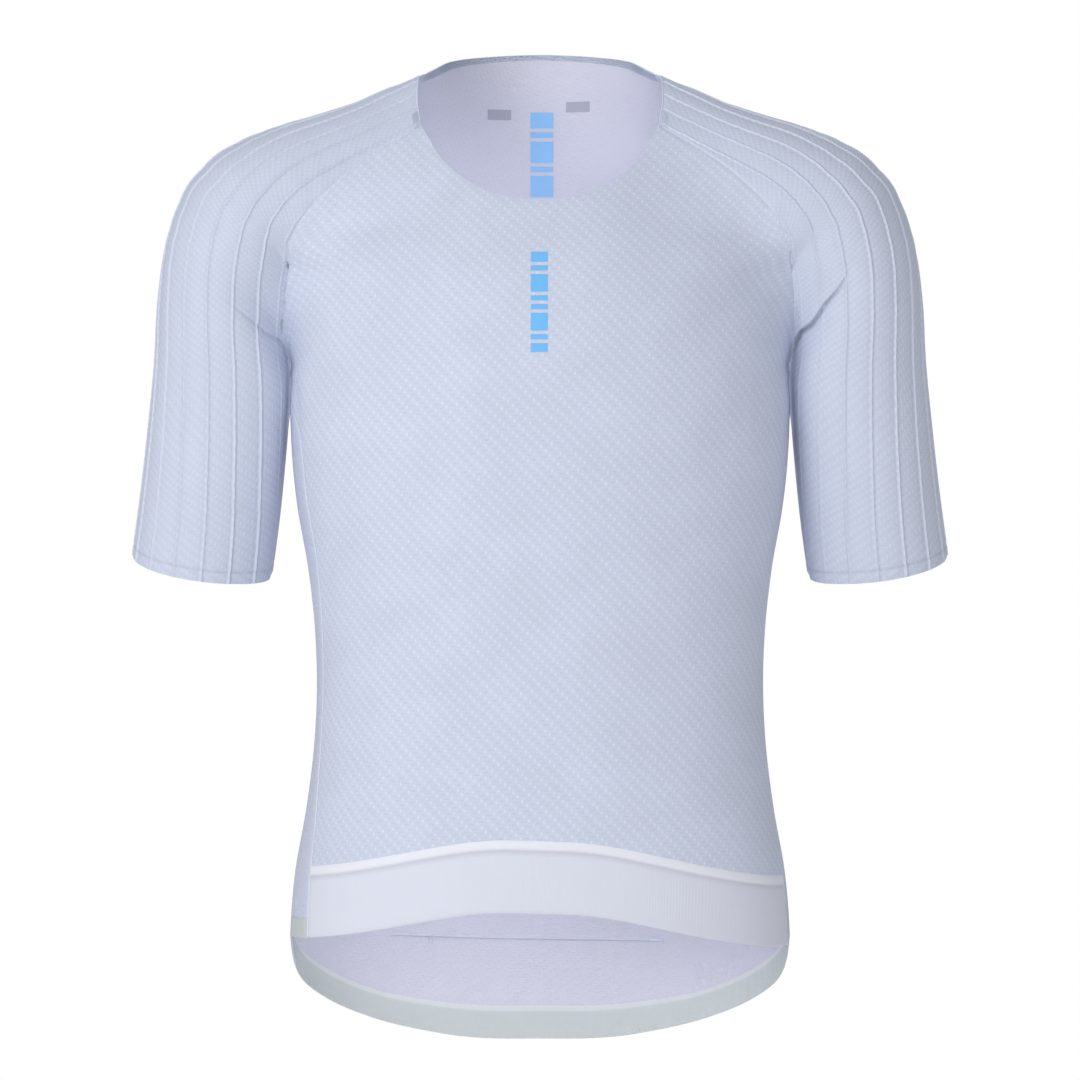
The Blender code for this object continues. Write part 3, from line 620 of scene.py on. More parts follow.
def fold_in(s, rib, name):
    """How deep the sharp fold sinks the sleeve: a lip on the shoulder's side, a slope on the arm's."""
    past, deep = past_fold(s, rib, name)
    sunk = np.where(past > 0, hill(past, FOLD_REACH), smoothstep(-FOLD_LIP, 0, past))
    swell = 0.14 * hill(past + 0.006, 0.005)
    return deep * (sunk - swell)


# --- Lines of the body ------------------------------------------------------------------------------


def side_seam(z, side):
    """Points of a side seam at heights, on the wearer's left (1) or right (-1)."""
    twist = SEAM_TWIST * smoothstep(UNDERARM_Z, UNDERARM_Z - 0.05, z)
    y = -read(SIDE_SEAM, "ahead", z, "z") + side * twist
    origin = np.stack([0 * z, y, z], axis=1)
    return cast(origin, np.array([[side, 0, 0]]), REACH, trunk_distance)


def front_hem(angle):
    drop = FRONT_HEM_DROP * smoothstep(*FRONT_HEM_TURN, np.abs(angle)) ** FRONT_HEM_FLATNESS
    return FRONT_HEM_CENTRE - drop + HEM_TILT * TRUNK_HALF * np.sin(np.radians(angle))


def front_band_top(angle):
    return front_hem(angle) + FRONT_BAND_HEIGHT


def back_hem(angle):
    return read(BACK_HEM, "z", 180 - np.abs(angle - 180), "angle")


def back_band_height(angle):
    return read(BACK_HEM, "height", 180 - np.abs(angle - 180), "angle")


def neck_edge(angle):
    return read(NECK_EDGE, "z", 180 - np.abs(np.abs(angle) - 180), "angle")


def bend(line, angle, share):
    """How far a line, given as a height at an angle, rises above a straight run between its ends."""
    height = line(angle)
    return height - mix(height[:1], height[-1:], share)


def hem_end(hem, side):
    """Where a line round the hem, given as a height at an angle, meets a side seam."""
    z = np.array([FRONT_HEM_CENTRE])
    for _ in range(6):
        z = hem(angle_of(side_seam(z, side)))
    return side_seam(z, side)[0]


def side_edge(hem, side):
    """A side seam from a hem line up to just below the underarm, in the same steps on both its panels."""
    low, foot = (hem_end(line, side)[2] for line in (front_band_top, hem))
    levels = np.linspace(low, UNDERARM_Z, BELOW_ROWS + 1)[:-1]
    if low - foot > 0.001:
        levels = np.concatenate([np.linspace(foot, low, 10)[:-1], levels])
    return side_seam(levels, side)


def spread(left, right, middle):
    """Angles of a panel's columns between two edges, even about the middle and skewed only near the seams."""
    first = middle - (middle - angle_of(left)) % 360
    last = middle + (angle_of(right) - middle) % 360
    half = (last - first) / 2
    return middle + half[..., None] * ACROSS + ((first + last) / 2 - middle)[..., None] * ACROSS**4


def hem_row(hem, sides, middle):
    """Points along a line round the hem, from one side seam to the other."""
    left, right = (hem_end(hem, side) for side in sides)
    angle = spread(left, right, middle)
    row = trunk_point(angle, hem(angle), distance=trunk_distance)
    row[0], row[-1] = left, right
    return row


def panel(left, right, bottom, top, middle):
    """A body panel between two edges, each from the hem up, with its rows bent to its hem and its neck.

    bottom and top give the heights of those two lines at an angle, and middle is the panel's own angle.
    """
    share = (ACROSS + 1) / 2
    angle = spread(left, right, middle)
    level = mix(left[:, 2:], right[:, 2:], share)
    height = (left[:, 2:] + right[:, 2:]) / 2
    level = level + bend(bottom, angle[0], share) * smoothstep(UNDERARM_Z - 0.1, height[0, 0], height)
    level = level + bend(top, angle[-1], share) * smoothstep(UNDERARM_Z - 0.06, height[-1, 0], height)
    above = height[:, 0] > UNDERARM_Z - LEVEL
    grid = trunk_point(angle, level, distance=trunk_distance)
    grid[above] = by_the_seams(grid[above], angle[above], left[above], right[above])
    grid[:, 0] = left
    grid[:, -1] = right
    return grid


def by_the_seams(bare, angle, left, right):
    """Rows of a panel above the underarm, which run from the bare trunk out to the raglan seams."""
    flat = (1, 1, 0)
    radius = np.linalg.norm(bare * flat, axis=2)
    edges = [np.linalg.norm(edge * flat, axis=1)[:, None] for edge in (left, right)]
    lifted = radius + (edges[0] - radius[:, :1]) * np.exp((angle[:, :1] - angle) / SEAM_FLARE)
    lifted = lifted + (edges[1] - radius[:, -1:]) * np.exp((angle - angle[:, -1:]) / SEAM_FLARE)
    level = bare[..., 2]
    room = smoothstep(-0.15, -0.05, (left[:, 2:] + right[:, 2:]) / 2) * 0.02 + 0.001
    formed = np.linalg.norm(trunk_point(angle, level, (edges[0] + room) * np.ones_like(angle)) * flat, axis=2)
    share = mix(lifted, formed, smoothstep(FLARE_TOP[0], FLARE_TOP[1], level)) / radius
    return bare * (share[..., None] * (1, 1, 0) + (0, 0, 1))


def smoothed(out):
    """Directions along a seam, evened out where the form folds sharply beside it."""
    out = out.copy()
    for _ in range(24):
        out[1:-1] = (out[:-2] + 2 * out[1:-1] + out[2:]) / 4
    return unit(out)


def body_outward(grid):
    """Directions straight out of a panel, at its sides the same as those of the piece sewn to it."""
    out = unit(np.cross(np.gradient(grid, axis=1), np.gradient(grid, axis=0)))
    across = measure(grid)[0]
    for column in (0, -1):
        line = grid[:, column]
        high = line[:, 2] > UNDERARM_Z - LEVEL
        edge = outward(line, trunk_distance)
        edge[high] = smoothed(outward(line[high]))
        away = np.abs(across - across[:, [column]])
        out = mix(out, edge[:, None], hill(away, EDGE_BLEND)[..., None])
    return unit(out)


# --- Creases ----------------------------------------------------------------------------------------


def crease_depth(points, face):
    """How deep the cloth is drawn in at points by the creases of the front or the back."""
    depth = np.zeros(points.shape[:-1])
    for number in np.unique(CREASES["crease"][CREASES["face"] == face]):
        rows = {name: column[CREASES["crease"] == number] for name, column in CREASES.items()}
        path = along(rows, ("x", "z", "depth", "width"), 20)
        near = np.full(points.shape[:-1], np.inf)
        found = np.zeros(points.shape[:-1])
        for x, z, deep, width in zip(path["x"], path["z"], path["depth"], path["width"]):
            away = np.hypot(points[..., 0] - x, points[..., 2] - z) / width
            nearer = away < near
            near = np.where(nearer, away, near)
            found = np.where(nearer, deep * np.exp(-(away**2)), found)
        depth += found
    return depth


# --- Meshes -----------------------------------------------------------------------------------------


def measure(grid):
    """Distances across and up a grid of points, from the middle of its first row."""
    across, up = (summed(np.linalg.norm(np.diff(grid, axis=axis), axis=2), axis) for axis in (1, 0))
    return across - across[:, [grid.shape[1] // 2]], up


def knit_place(points, middle):
    """Distances across and up the cloth at points of a body panel, whose knit runs level round the body."""
    levels = np.linspace(*KNIT_LEVELS, KNIT_ROWS)[:, None]
    turns = np.linspace(-KNIT_TURN, KNIT_TURN, 121)
    rings = trunk_point(middle + turns, levels, distance=trunk_distance)
    high = levels[:, 0] > FLARE_TOP[0]
    share = smoothstep(*FLARE_TOP, levels[high])[..., None]
    rings[high] = mix(rings[high], trunk_point(middle + turns, levels[high]), share)
    across = measure(rings)[0]
    row = (points[..., 2] - levels[0, 0]) / (levels[1, 0] - levels[0, 0])
    up = np.interp(row, np.arange(len(levels)), run_of(rings[:, len(turns) // 2]))
    turn = (angle_of(points) - middle + 180) % 360 - 180
    column = (turn + KNIT_TURN) / (turns[1] - turns[0])
    return grid_at(across[..., None], row, column)[..., 0], up


def wall_faces(rows, columns, wrap=False):
    """Faces of a closed wall between two grids of points, the outer one first."""
    size = rows * columns
    spans = columns if wrap else columns - 1
    i, j = np.meshgrid(np.arange(rows - 1), np.arange(spans), indexing="ij")
    a = i * columns + j
    b = i * columns + (j + 1) % columns
    face = np.stack([a, b, b + columns, a + columns], axis=2).reshape(-1, 4)
    rims = [(b[0], a[0]), (a[-1] + columns, b[-1] + columns)]
    if not wrap:
        left = np.arange(rows - 1) * columns
        right = left + columns - 1
        rims += [(left, left + columns), (right + columns, right)]
    rims = [np.stack([start, end, end + size, start + size], axis=1) for start, end in rims]
    return np.concatenate([face, face[:, ::-1] + size, *rims])


def shell(name, grid, out, finish, relief, wall=WALL, flat=None, wrap=False, mirror=False, **shown):
    """A wall of cloth with its outer face on the grid, raised there by the relief.

    flat gives the distances across and up the cloth for its knit. What is shown can be its marks and its
    inner_marks, which are 1 on raised trim, a painted highlight on the sleeves' rib crests, and below 0 where
    shade is painted into folds, grooves and the dips beside ribs, and its glow, a painted glow that stands in
    for light coming through the cloth.
    """
    rows, columns = grid.shape[:2]
    relief = np.broadcast_to(relief, grid.shape[:2])
    flat = measure(grid) if flat is None else flat
    kinds = ("marks", "inner_marks", "glow")
    marks, inner_marks, glow = (np.broadcast_to(shown.get(kind, 0), grid.shape[:2]).ravel() for kind in kinds)
    outer = grid + out * relief[..., None]
    inner = grid - out * wall
    points = np.concatenate([outer.reshape(-1, 3), inner.reshape(-1, 3)])
    if mirror:
        points = points * (-1, 1, 1)
    faces = wall_faces(rows, columns, wrap)
    if mirror:
        faces = faces[:, ::-1]
    mesh = bpy.data.meshes.new(name)
    mesh.from_pydata(points.tolist(), [], faces.tolist())
    place = np.tile(np.stack([flat[0].ravel(), flat[1].ravel()], axis=1), (2, 1))
    corners = np.zeros(len(mesh.loops), np.int32)
    mesh.loops.foreach_get("vertex_index", corners)
    spots = place[corners]
    if wrap:
        across = spots.reshape(-1, 4, 2)[..., 0]
        crossing = (np.ptp(across, axis=1) > 0.1)[:, None] & (across < 0)
        across += np.where(crossing, np.ptp(flat[0]) + 0.002, 0)
    layer = mesh.uv_layers.new(name="cloth")
    layer.data.foreach_set("uv", spots.ravel().astype(np.float32))
    by_face = {"raised": (marks, inner_marks), "lit": (glow, 0 * glow), "within": (0 * glow, 0 * glow + 1)}
    for label, values in by_face.items():
        layer = mesh.attributes.new(label, "FLOAT", "POINT")
        layer.data.foreach_set("value", np.concatenate(values).astype(np.float32))
    return finished(mesh, FINISHES[finish], 62)


def finished(mesh, material=None, sharp=None):
    """The object of a mesh, smooth but for edges sharper than an angle in degrees."""
    mesh.shade_smooth()
    if sharp:
        mesh.set_sharp_from_angle(angle=math.radians(sharp))
    mesh.materials.append(material)
    return linked(mesh.name, mesh)


def linked(name, data):
    made = bpy.data.objects.new(name, data)
    bpy.context.scene.collection.objects.link(made)
    return made


def area_of(grid):
    """The area of a grid of points."""
    across, up = np.diff(grid, axis=1)[:-1], np.diff(grid, axis=0)[:, :-1]
    return float(np.linalg.norm(np.cross(across, up), axis=2).sum())


# --- Materials --------------------------------------------------------------------------------------


class Look:
    """A material whose nodes are wired as they are made."""

    def __init__(self, name):
        self.made = bpy.data.materials.new(name)
        self.made.use_nodes = True
        self.tree = self.made.node_tree
        self.surface = self.tree.nodes["Principled BSDF"]

    def fill(self, made, inputs):
        for key, value in inputs.items():
            if isinstance(value, bpy.types.NodeSocket):
                self.tree.links.new(value, made.inputs[key])
            else:
                made.inputs[key].default_value = value

    def node(self, kind, inputs=None, **settings):
        made = self.tree.nodes.new("ShaderNode" + kind)
        for key, value in settings.items():
            setattr(made, key, value)
        self.fill(made, inputs or {})
        return made.outputs

    def math(self, operation, first, second=0.0):
        return self.node("Math", {0: first, 1: second}, operation=operation)[0]

    def noise(self, place, scale, detail, output="Fac"):
        return self.node("TexNoise", {"Vector": place, "Scale": scale, "Detail": detail})[output]

    def vector(self, operation, first, second=(0, 0, 0)):
        made = self.node("VectorMath", {0: first, 1: second}, operation=operation)
        return made["Value"] if operation in ("DOT_PRODUCT", "LENGTH") else made["Vector"]

    def scaled(self, vector, share):
        return self.node("VectorMath", {0: vector, 3: share}, operation="SCALE")["Vector"]

    def ramp(self, value, low, high, start=0.0, end=1.0):
        inputs = {"Value": value, "From Min": low, "From Max": high, "To Min": start, "To Max": end}
        return self.node("MapRange", inputs, interpolation_type="SMOOTHSTEP")["Result"]

    def tint(self, share, first, second):
        """The mix of two colours, each a socket or three numbers."""
        made = self.tree.nodes.new("ShaderNodeMix")
        made.data_type = "RGBA"
        colours = [c if isinstance(c, bpy.types.NodeSocket) else (*c, 1) for c in (first, second)]
        self.fill(made, {0: share, 6: colours[0], 7: colours[1]})
        return made.outputs[2]


def darker_and_lighter(base, share):
    return [value * (1 - share) for value in base], [min(value * (1 + share), 1) for value in base]


def marked(look, colour, trim, base, shade):
    """The colour with its paler trim (on the sleeves' rib crests a painted highlight), and with painted shade
    where its marks fall below nought.
    """
    mark = look.node("Attribute", attribute_name="raised")["Fac"]
    colour = look.tint(look.math("MAXIMUM", mark, 0.0), colour, trim)
    low = look.math("MULTIPLY", look.math("MINIMUM", mark, 0.0), -1.0)
    return look.tint(low, colour, [value * shade for value in base])


def lattice_cell(look, spot, across, up, shift):
    """Where a spot lies from the middle of its cell of a slanted lattice, in metres."""
    (ax, ay), (bx, by) = across, up
    size = ax * by - ay * bx
    offset = None
    for steps, back in (((by / size, -bx / size, 0), across), ((-ay / size, ax / size, 0), up)):
        count = look.math("ADD", look.vector("DOT_PRODUCT", spot, steps), shift)
        from_middle = look.math("SUBTRACT", look.math("FRACT", count), 0.5)
        step = look.scaled((*back, 0), from_middle)
        offset = step if offset is None else look.vector("ADD", offset, step)
    return offset


def mound(look, offset, wide, high):
    """A soft oval spot, 1 at the middle and 0 at its rim."""
    away = look.vector("LENGTH", look.vector("MULTIPLY", offset, (1 / wide, 1 / high, 0)))
    return look.ramp(away, 0.15, 1.15, 1, 0)


def cloth(name, base, across, up, dot, dash, contrast, relief, trim=None, within=None):
    """A fine knit: pale loops on a slanted lattice, with a short dark float between each four.

    across and up are the steps from loop to loop, dot and dash the sizes of a loop and a float. The trim is
    the paler colour painted on its ribs' crests, a painted highlight, and within is the colour of its inner
    face: its own greyer tone, made paler as painted light against the shade inside the garment.
    """
    look = Look(name)
    spot = look.node("UVMap", uv_map="cloth")["UV"]
    drift = look.noise(spot, 90, 1, "Color")
    drift = look.vector("SUBTRACT", drift, (0.5, 0.5, 0.5))
    drifted = look.vector("ADD", spot, look.scaled(drift, 0.0011))
    loops = mound(look, lattice_cell(look, drifted, across, up, 0.5), *dot)
    floats = mound(look, lattice_cell(look, drifted, across, up, 0.0), *dash)
    broad = look.noise(spot, 24, 3)
    grain = look.noise(spot, 1700, 2)
    height = look.math("SUBTRACT", look.math("MULTIPLY", loops, 1.2), look.math("MULTIPLY", floats, 0.75))
    fuzz = look.math("MULTIPLY", look.math("SUBTRACT", grain, 0.5), 0.7)
    shade = look.math("ADD", look.math("ADD", height, fuzz), look.math("SUBTRACT", broad, 0.5))
    colour = look.tint(look.ramp(shade, -0.9, 1.5), *darker_and_lighter(base, contrast))
    if within:
        inside = look.node("Attribute", attribute_name="within")["Fac"]
        paler = look.tint(look.ramp(shade, -1.1, 1.3), [value * 0.97 for value in within], within)
        colour = look.tint(inside, colour, paler)
    if trim:
        colour = marked(look, colour, trim, base, 0.3)
    bump = look.node("Bump", {"Height": look.math("ADD", height, fuzz), "Distance": relief, "Strength": 1.0})
    look.fill(look.surface, {"Base Color": colour, "Normal": bump["Normal"], "Roughness": 0.62})
    look.fill(look.surface, {"Specular IOR Level": 0.3, "Sheen Weight": 0.04, "Sheen Roughness": 0.5})
    # Painted glow: the cloth emits its own colour where its lit attribute is set, standing in for light
    # coming through the cloth.
    painted_glow = look.math("MULTIPLY", look.node("Attribute", attribute_name="lit")["Fac"], SHINE)
    look.fill(look.surface, {"Emission Color": colour, "Emission Strength": painted_glow})
    return look.made


def smooth_cloth(name, base, trim, chevron=0.0):
    """A smooth elastic, with fine upright ribs, or with a faint herringbone, and a paler trim."""
    look = Look(name)
    spot = look.node("UVMap", uv_map="cloth")["UV"]
    parts = look.node("SeparateXYZ", {"Vector": spot})
    across, up = parts["X"], parts["Y"]
    if chevron:
        turned = look.math("PINGPONG", across, chevron)
        run = look.math("ADD", look.math("MULTIPLY", turned, 1.2), up)
        weave = look.math("SINE", look.math("MULTIPLY", run, 2 * math.pi / 0.0016))
    else:
        weave = look.math("SINE", look.math("MULTIPLY", across, 2 * math.pi / 0.0011))
    grain = look.noise(spot, 1500, 2)
    broad = look.noise(spot, 30, 2)
    shade = look.math("ADD", look.math("MULTIPLY", weave, 0.5), look.math("ADD", grain, broad))
    soft = 0.045 if chevron else 0.015
    colour = look.tint(look.ramp(shade, 0.2, 1.8), *darker_and_lighter(base, soft))
    colour = marked(look, colour, trim, base, 0.7)
    relief = 0.00014 if chevron else 0.00008
    bump = look.node("Bump", {"Height": shade, "Distance": relief, "Strength": 1.0})
    look.fill(look.surface, {"Base Color": colour, "Normal": bump["Normal"], "Roughness": 0.55})
    look.fill(look.surface, {"Specular IOR Level": 0.35, "Sheen Weight": 0.03})
    return look.made


def thread(name, base):
    """Thread or a print: one colour, a little uneven."""
    look = Look(name)
    place = look.node("TexCoord")["Object"]
    grain = look.noise(place, 900, 2)
    colour = look.tint(grain, [value * 0.93 for value in base], [min(value * 1.05, 1) for value in base])
    bump = look.node("Bump", {"Height": grain, "Distance": 0.0001, "Strength": 0.6})
    look.fill(look.surface, {"Base Color": colour, "Normal": bump["Normal"], "Roughness": 0.6})
    return look.made


FINISHES = {
    "front": cloth(
        "knit_front", (0.64, 0.685, 0.82), (0.00294, -0.00287), (0.00434, 0.00476), (0.0009, 0.0014),
        (0.0021, 0.0007), 0.12, 0.00012,
    ),
    # The back's inner face has its own greyer tone, made paler as painted light against the shade inside the
    # garment.
    "back": cloth(
        "knit_back", (0.60, 0.635, 0.77), (0.0030, -0.0020), (0.0022, 0.0040), (0.0009, 0.0009),
        (0.0014, 0.0006), 0.04, 0.0002, within=(0.655, 0.655, 0.76),
    ),
    # The sleeve's trim is the paler colour painted on its rib crests, a painted highlight.
    "sleeve": cloth(
        "knit_sleeve", (0.622, 0.666, 0.795), (0.0028, 0.0014), (-0.0028, 0.0042), (0.0009, 0.0013),
        (0.0017, 0.0007), 0.065, 0.00012, trim=(0.80, 0.83, 0.90),
    ),
    "trim": cloth(
        "knit_trim", (0.50, 0.54, 0.66), (0.0024, -0.0024), (0.0024, 0.0030), (0.0009, 0.0009),
        (0.0014, 0.0006), 0.10, 0.0005,
    ),
    "band": smooth_cloth("elastic_band", (0.72, 0.735, 0.83), (0.84, 0.85, 0.92)),
    "grip": smooth_cloth("gripper_elastic", (0.60, 0.64, 0.64), (0.76, 0.78, 0.82), chevron=0.004),
    "edge": thread("edge_thread", (0.70, 0.74, 0.85)),
    "seam": thread("seam_thread", (0.66, 0.70, 0.82)),
    "stitch": thread("stitch_thread", (0.52, 0.55, 0.66)),
    "chest": thread("print_blue", (0.17, 0.52, 0.95)),
    "inside": thread("print_blue_faded", (0.27, 0.55, 0.90)),
    "label": thread("print_grey", (0.40, 0.41, 0.50)),
}


# --- The pieces -------------------------------------------------------------------------------------


def folded(points, out):
    """Points of the garment once its soft folds and creases have drawn the cloth in."""
    paired = np.abs(points[..., 0:1])
    path = along(ARMPIT_FOLD, ("x", "z", "depth", "width"), 24)
    away = np.hypot(paired - path["x"], points[..., 2:3] - path["z"])
    depth = (path["depth"] * hill(away, path["width"])).max(axis=-1)
    behind = smoothstep(-0.012, 0.012, points[..., 1])
    creased = crease_depth(points, -1) * (1 - behind) + crease_depth(points, 1) * behind
    return points + (depth * (1 - 2 * behind))[..., None] * (0, 1, 0) - out * creased[..., None]


def rolled(distance, z):
    """How far the cloth turns in at a distance from a seam, which lies flatter at the armpits."""
    flatter = 0.8 * smoothstep(-0.10, -0.14, z) * smoothstep(-0.235, UNDERARM_Z, z)
    return -SEAM_ROLL * (1 - flatter) * hill(distance, SEAM_SOFT)


def shine(points):
    """How strongly the cloth is painted to glow where sleeve and body all but touch, from 0 to 1: a painted
    glow that stands in for light coming through the cloth and lifts the shade in the gap.
    """
    spots = points.reshape(-1, 3)
    gap = np.maximum(trunk_distance(spots), arm_distance(spots)).reshape(points.shape[:-1])
    z = points[..., 2]
    more = 1 + SHINE_MORE * (points[..., 0] < 0)
    return more * smoothstep(*SHINE_GAP, gap) * smoothstep(*SHINE_TOP, z) * smoothstep(*SHINE_FOOT, z)


def rib_strength(s, rib, name):
    """How much of a rib shows: the last one at the front fades, and one more below the left sleeve's fold."""
    below = smoothstep(0, 0.004, past_fold(s, rib, name)[0]) if name == "left" else 0
    return 1 - np.maximum(smoothstep(6.5, 6.6, rib), smoothstep(5.5, 5.6, rib) * below)


def from_sides(across):
    return np.minimum(across - across[:, :1], across[:, -1:] - across)


def snug(points, low, high):
    """How far a sleeve and the body's side swell towards each other just below the underarm."""
    z = points[..., 2]
    near = smoothstep(SNUG_TOP, UNDERARM_Z, z) * smoothstep(*SNUG_FOOT, z)
    return SNUG * near * smoothstep(low, high, np.abs(points[..., 0]))


def settle(piece, node, flat, area):
    """Sets a sheet of cloth in its node's place, hiding that node, and works out its flat area."""
    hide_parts(node)
    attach(piece, "root")
    width, length = flat
    area = round(min(area, width * length), 4)


def make_sleeves():
    columns = sleeve_columns()
    for name, side in (("left", 1), ("right", -1)):
        s, rib, grid = sleeve_grid(columns, read(SLEEVE_FOLD, name, columns, "rib"))
        out = outward(grid)
        tube = s > UNDERARM
        out[tube] = outward(grid[tube], arm_distance)
        from_edge, from_cuff = from_cut_edge(s, rib), CUFF - s
        out = unit(mix(out, smoothed(out[0]), hill(from_edge, EDGE_BLEND)[..., None]))
        ribs = rib_rise(rib) * smoothstep(0, 0.002, from_edge)
        shown = ribs * rib_strength(s, rib, name)
        bond = hill(from_cuff - CUFF_LINE, 0.0007)
        relief = RIB_HEIGHT * mix(ribs, shown, RIB_FADE) + rolled(from_edge, grid[..., 2])
        relief = relief - 0.0004 * bond - 0.0004 * hill(from_cuff, 0.0008)
        fold = fold_in(s, rib, name) * smoothstep(0, 0.0022, from_edge)
        corners = hill(rib - 6.7, 1.1) + hill(rib + 7.1, 1.1)
        relief = relief + snug(grid, *SNUG_SLEEVES) + SQUARED * corners * smoothstep(0.270, 0.340, s)
        seam = 0.2 * hill(from_edge - 0.0008, 0.0007) * (rib > FRONT_CORNER)
        # Marks: rib crests painted paler as a painted highlight, with painted shade in the dips beside them;
        # paler along the front raglan seam; painted shade in the cuff's bond line and at the bottom of the
        # sharp fold.
        marks = 0.2 * shown + seam - 0.2 * bond - 0.42 * fold_shade(s, rib, name)
        to_side = (side, 1, 1)
        under = np.abs(rib)
        # Painted glow: shine's glow plus more on the sleeve's inner side near the armpit, lifting the shade
        # there.
        glow = shine(grid * to_side) + 0.2 * smoothstep(6.2, 8.6, under) * smoothstep(0.27, 0.34, s)
        glow += 0.5 * smoothstep(7.3, 8.2, under) * smoothstep(0.285, 0.31, s) * smoothstep(0.42, 0.34, s)
        cut = folded(grid * to_side, out * to_side) * to_side - out * fold[..., None]
        piece = shell(
            f"sleeve_{name}_cloth", cut, out, "sleeve", relief=relief, wrap=True, flat=(rib * RIB_PITCH, s),
            marks=np.clip(marks, -0.9, 1), glow=glow, mirror=side < 0,
        )
        settle(piece, f"sleeve_{name}", (SLEEVE_ROUND, np.ptp(s)), area_of(grid))
    return columns, grid[0].copy()


def band_rows(height, turns):
    """Heights up a band: close by its edges and by each of its turns."""
    near = [0, 0.0006, 0.0014, 0.0026]
    rows = [*near, *(height - at for at in near)]
    for turn in turns:
        rows += [turn - 0.0012, turn - 0.0004, turn + 0.0004, turn + 0.0012]
    rows = sorted(rows)
    filled = [rows[0]]
    for low, high in zip(rows, rows[1:]):
        steps = max(int((high - low) / 0.0035), 1)
        filled += list(np.linspace(low, high, steps + 1)[1:])
    return np.array(filled)


def body(rows, foot, sides, seam, middle):
    """Front or back with its band: its grid, directions, cut, distances across and up, and rolled sides.

    rows are the band's, foot is the height of its top at an angle, and seam runs on from the underarm on
    the wearer's left.
    """
    edges = [np.concatenate([side_edge(foot, side), seam * (side, 1, 1)]) for side in sides]
    grid = np.concatenate([rows[:-1], panel(*edges, foot, neck_edge, middle)])
    out = body_outward(grid)
    across, up = measure(grid)
    return grid, out, folded(grid, out), across, up, rolled(from_sides(across), grid[..., 2])


def make_front(raglan):
    strip = FRONT_BAND_HEIGHT - BOND_STRIP_HEIGHT
    rises = band_rows(FRONT_BAND_HEIGHT, [strip])
    rows = [hem_row(lambda angle, rise=rise: front_hem(angle) + rise, (-1, 1), 0) for rise in rises]
    grid, out, cut, across, up, sides = body(rows, front_band_top, (-1, 1), raglan, 0)
    top = len(rises) - 1
    neck = up[-1] - up
    relief = sides[top:] + snug(grid[top:], *SNUG_SIDES) - 0.0006 * hill(neck[top:], 0.0012)
    place = knit_place(grid[top:], 0)
    # Painted glow near the armpits, from shine.
    glow = shine(grid[top:])
    front = shell("front_cloth", cut[top:], out[top:], "front", relief=relief, flat=place, glow=glow)
    settle(front, "front", (np.ptp(across), np.ptp(up[top:])), area_of(grid[top:]))
    low = slice(0, top + 1)
    on_strip = smoothstep(strip - 0.0008, strip + 0.0008, rises)[:, None]
    below = hill(rises - strip + 0.0014, 0.0011)[:, None]
    edges = hill(rises, 0.0009) + hill(FRONT_BAND_HEIGHT - rises, 0.0009)
    relief = sides[low] + BOND_STRIP_RISE * on_strip - 0.0003 * below - 0.0006 * edges[:, None]
    # The bond strip takes the band's paler trim colour, and just below it the colour is darkened as a painted
    # shadow under the strip.
    marks = np.broadcast_to(on_strip * 0.9 - 0.5 * below, sides[low].shape)
    band = shell(
        "front_hem_band_cloth", cut[low], out[low], "band", wall=BAND_WALL, relief=relief,
        flat=(across[low], up[low]), marks=marks,
    )
    settle(band, "front_hem_band", (np.ptp(across[low]), FRONT_BAND_HEIGHT), area_of(grid[low]))
    return grid, out


def between(grid, out, low, high, count):
    """Rows of points and directions of a panel between two heights for each of its columns."""
    z = np.linspace(low, high, count)
    points, directions = np.zeros((2, count, grid.shape[1], 3))
    for column in range(grid.shape[1]):
        for axis in range(3):
            points[:, column, axis] = np.interp(z[:, column], grid[:, column, 2], grid[:, column, axis])
            directions[:, column, axis] = np.interp(z[:, column], grid[:, column, 2], out[:, column, axis])
    return points, unit(directions)


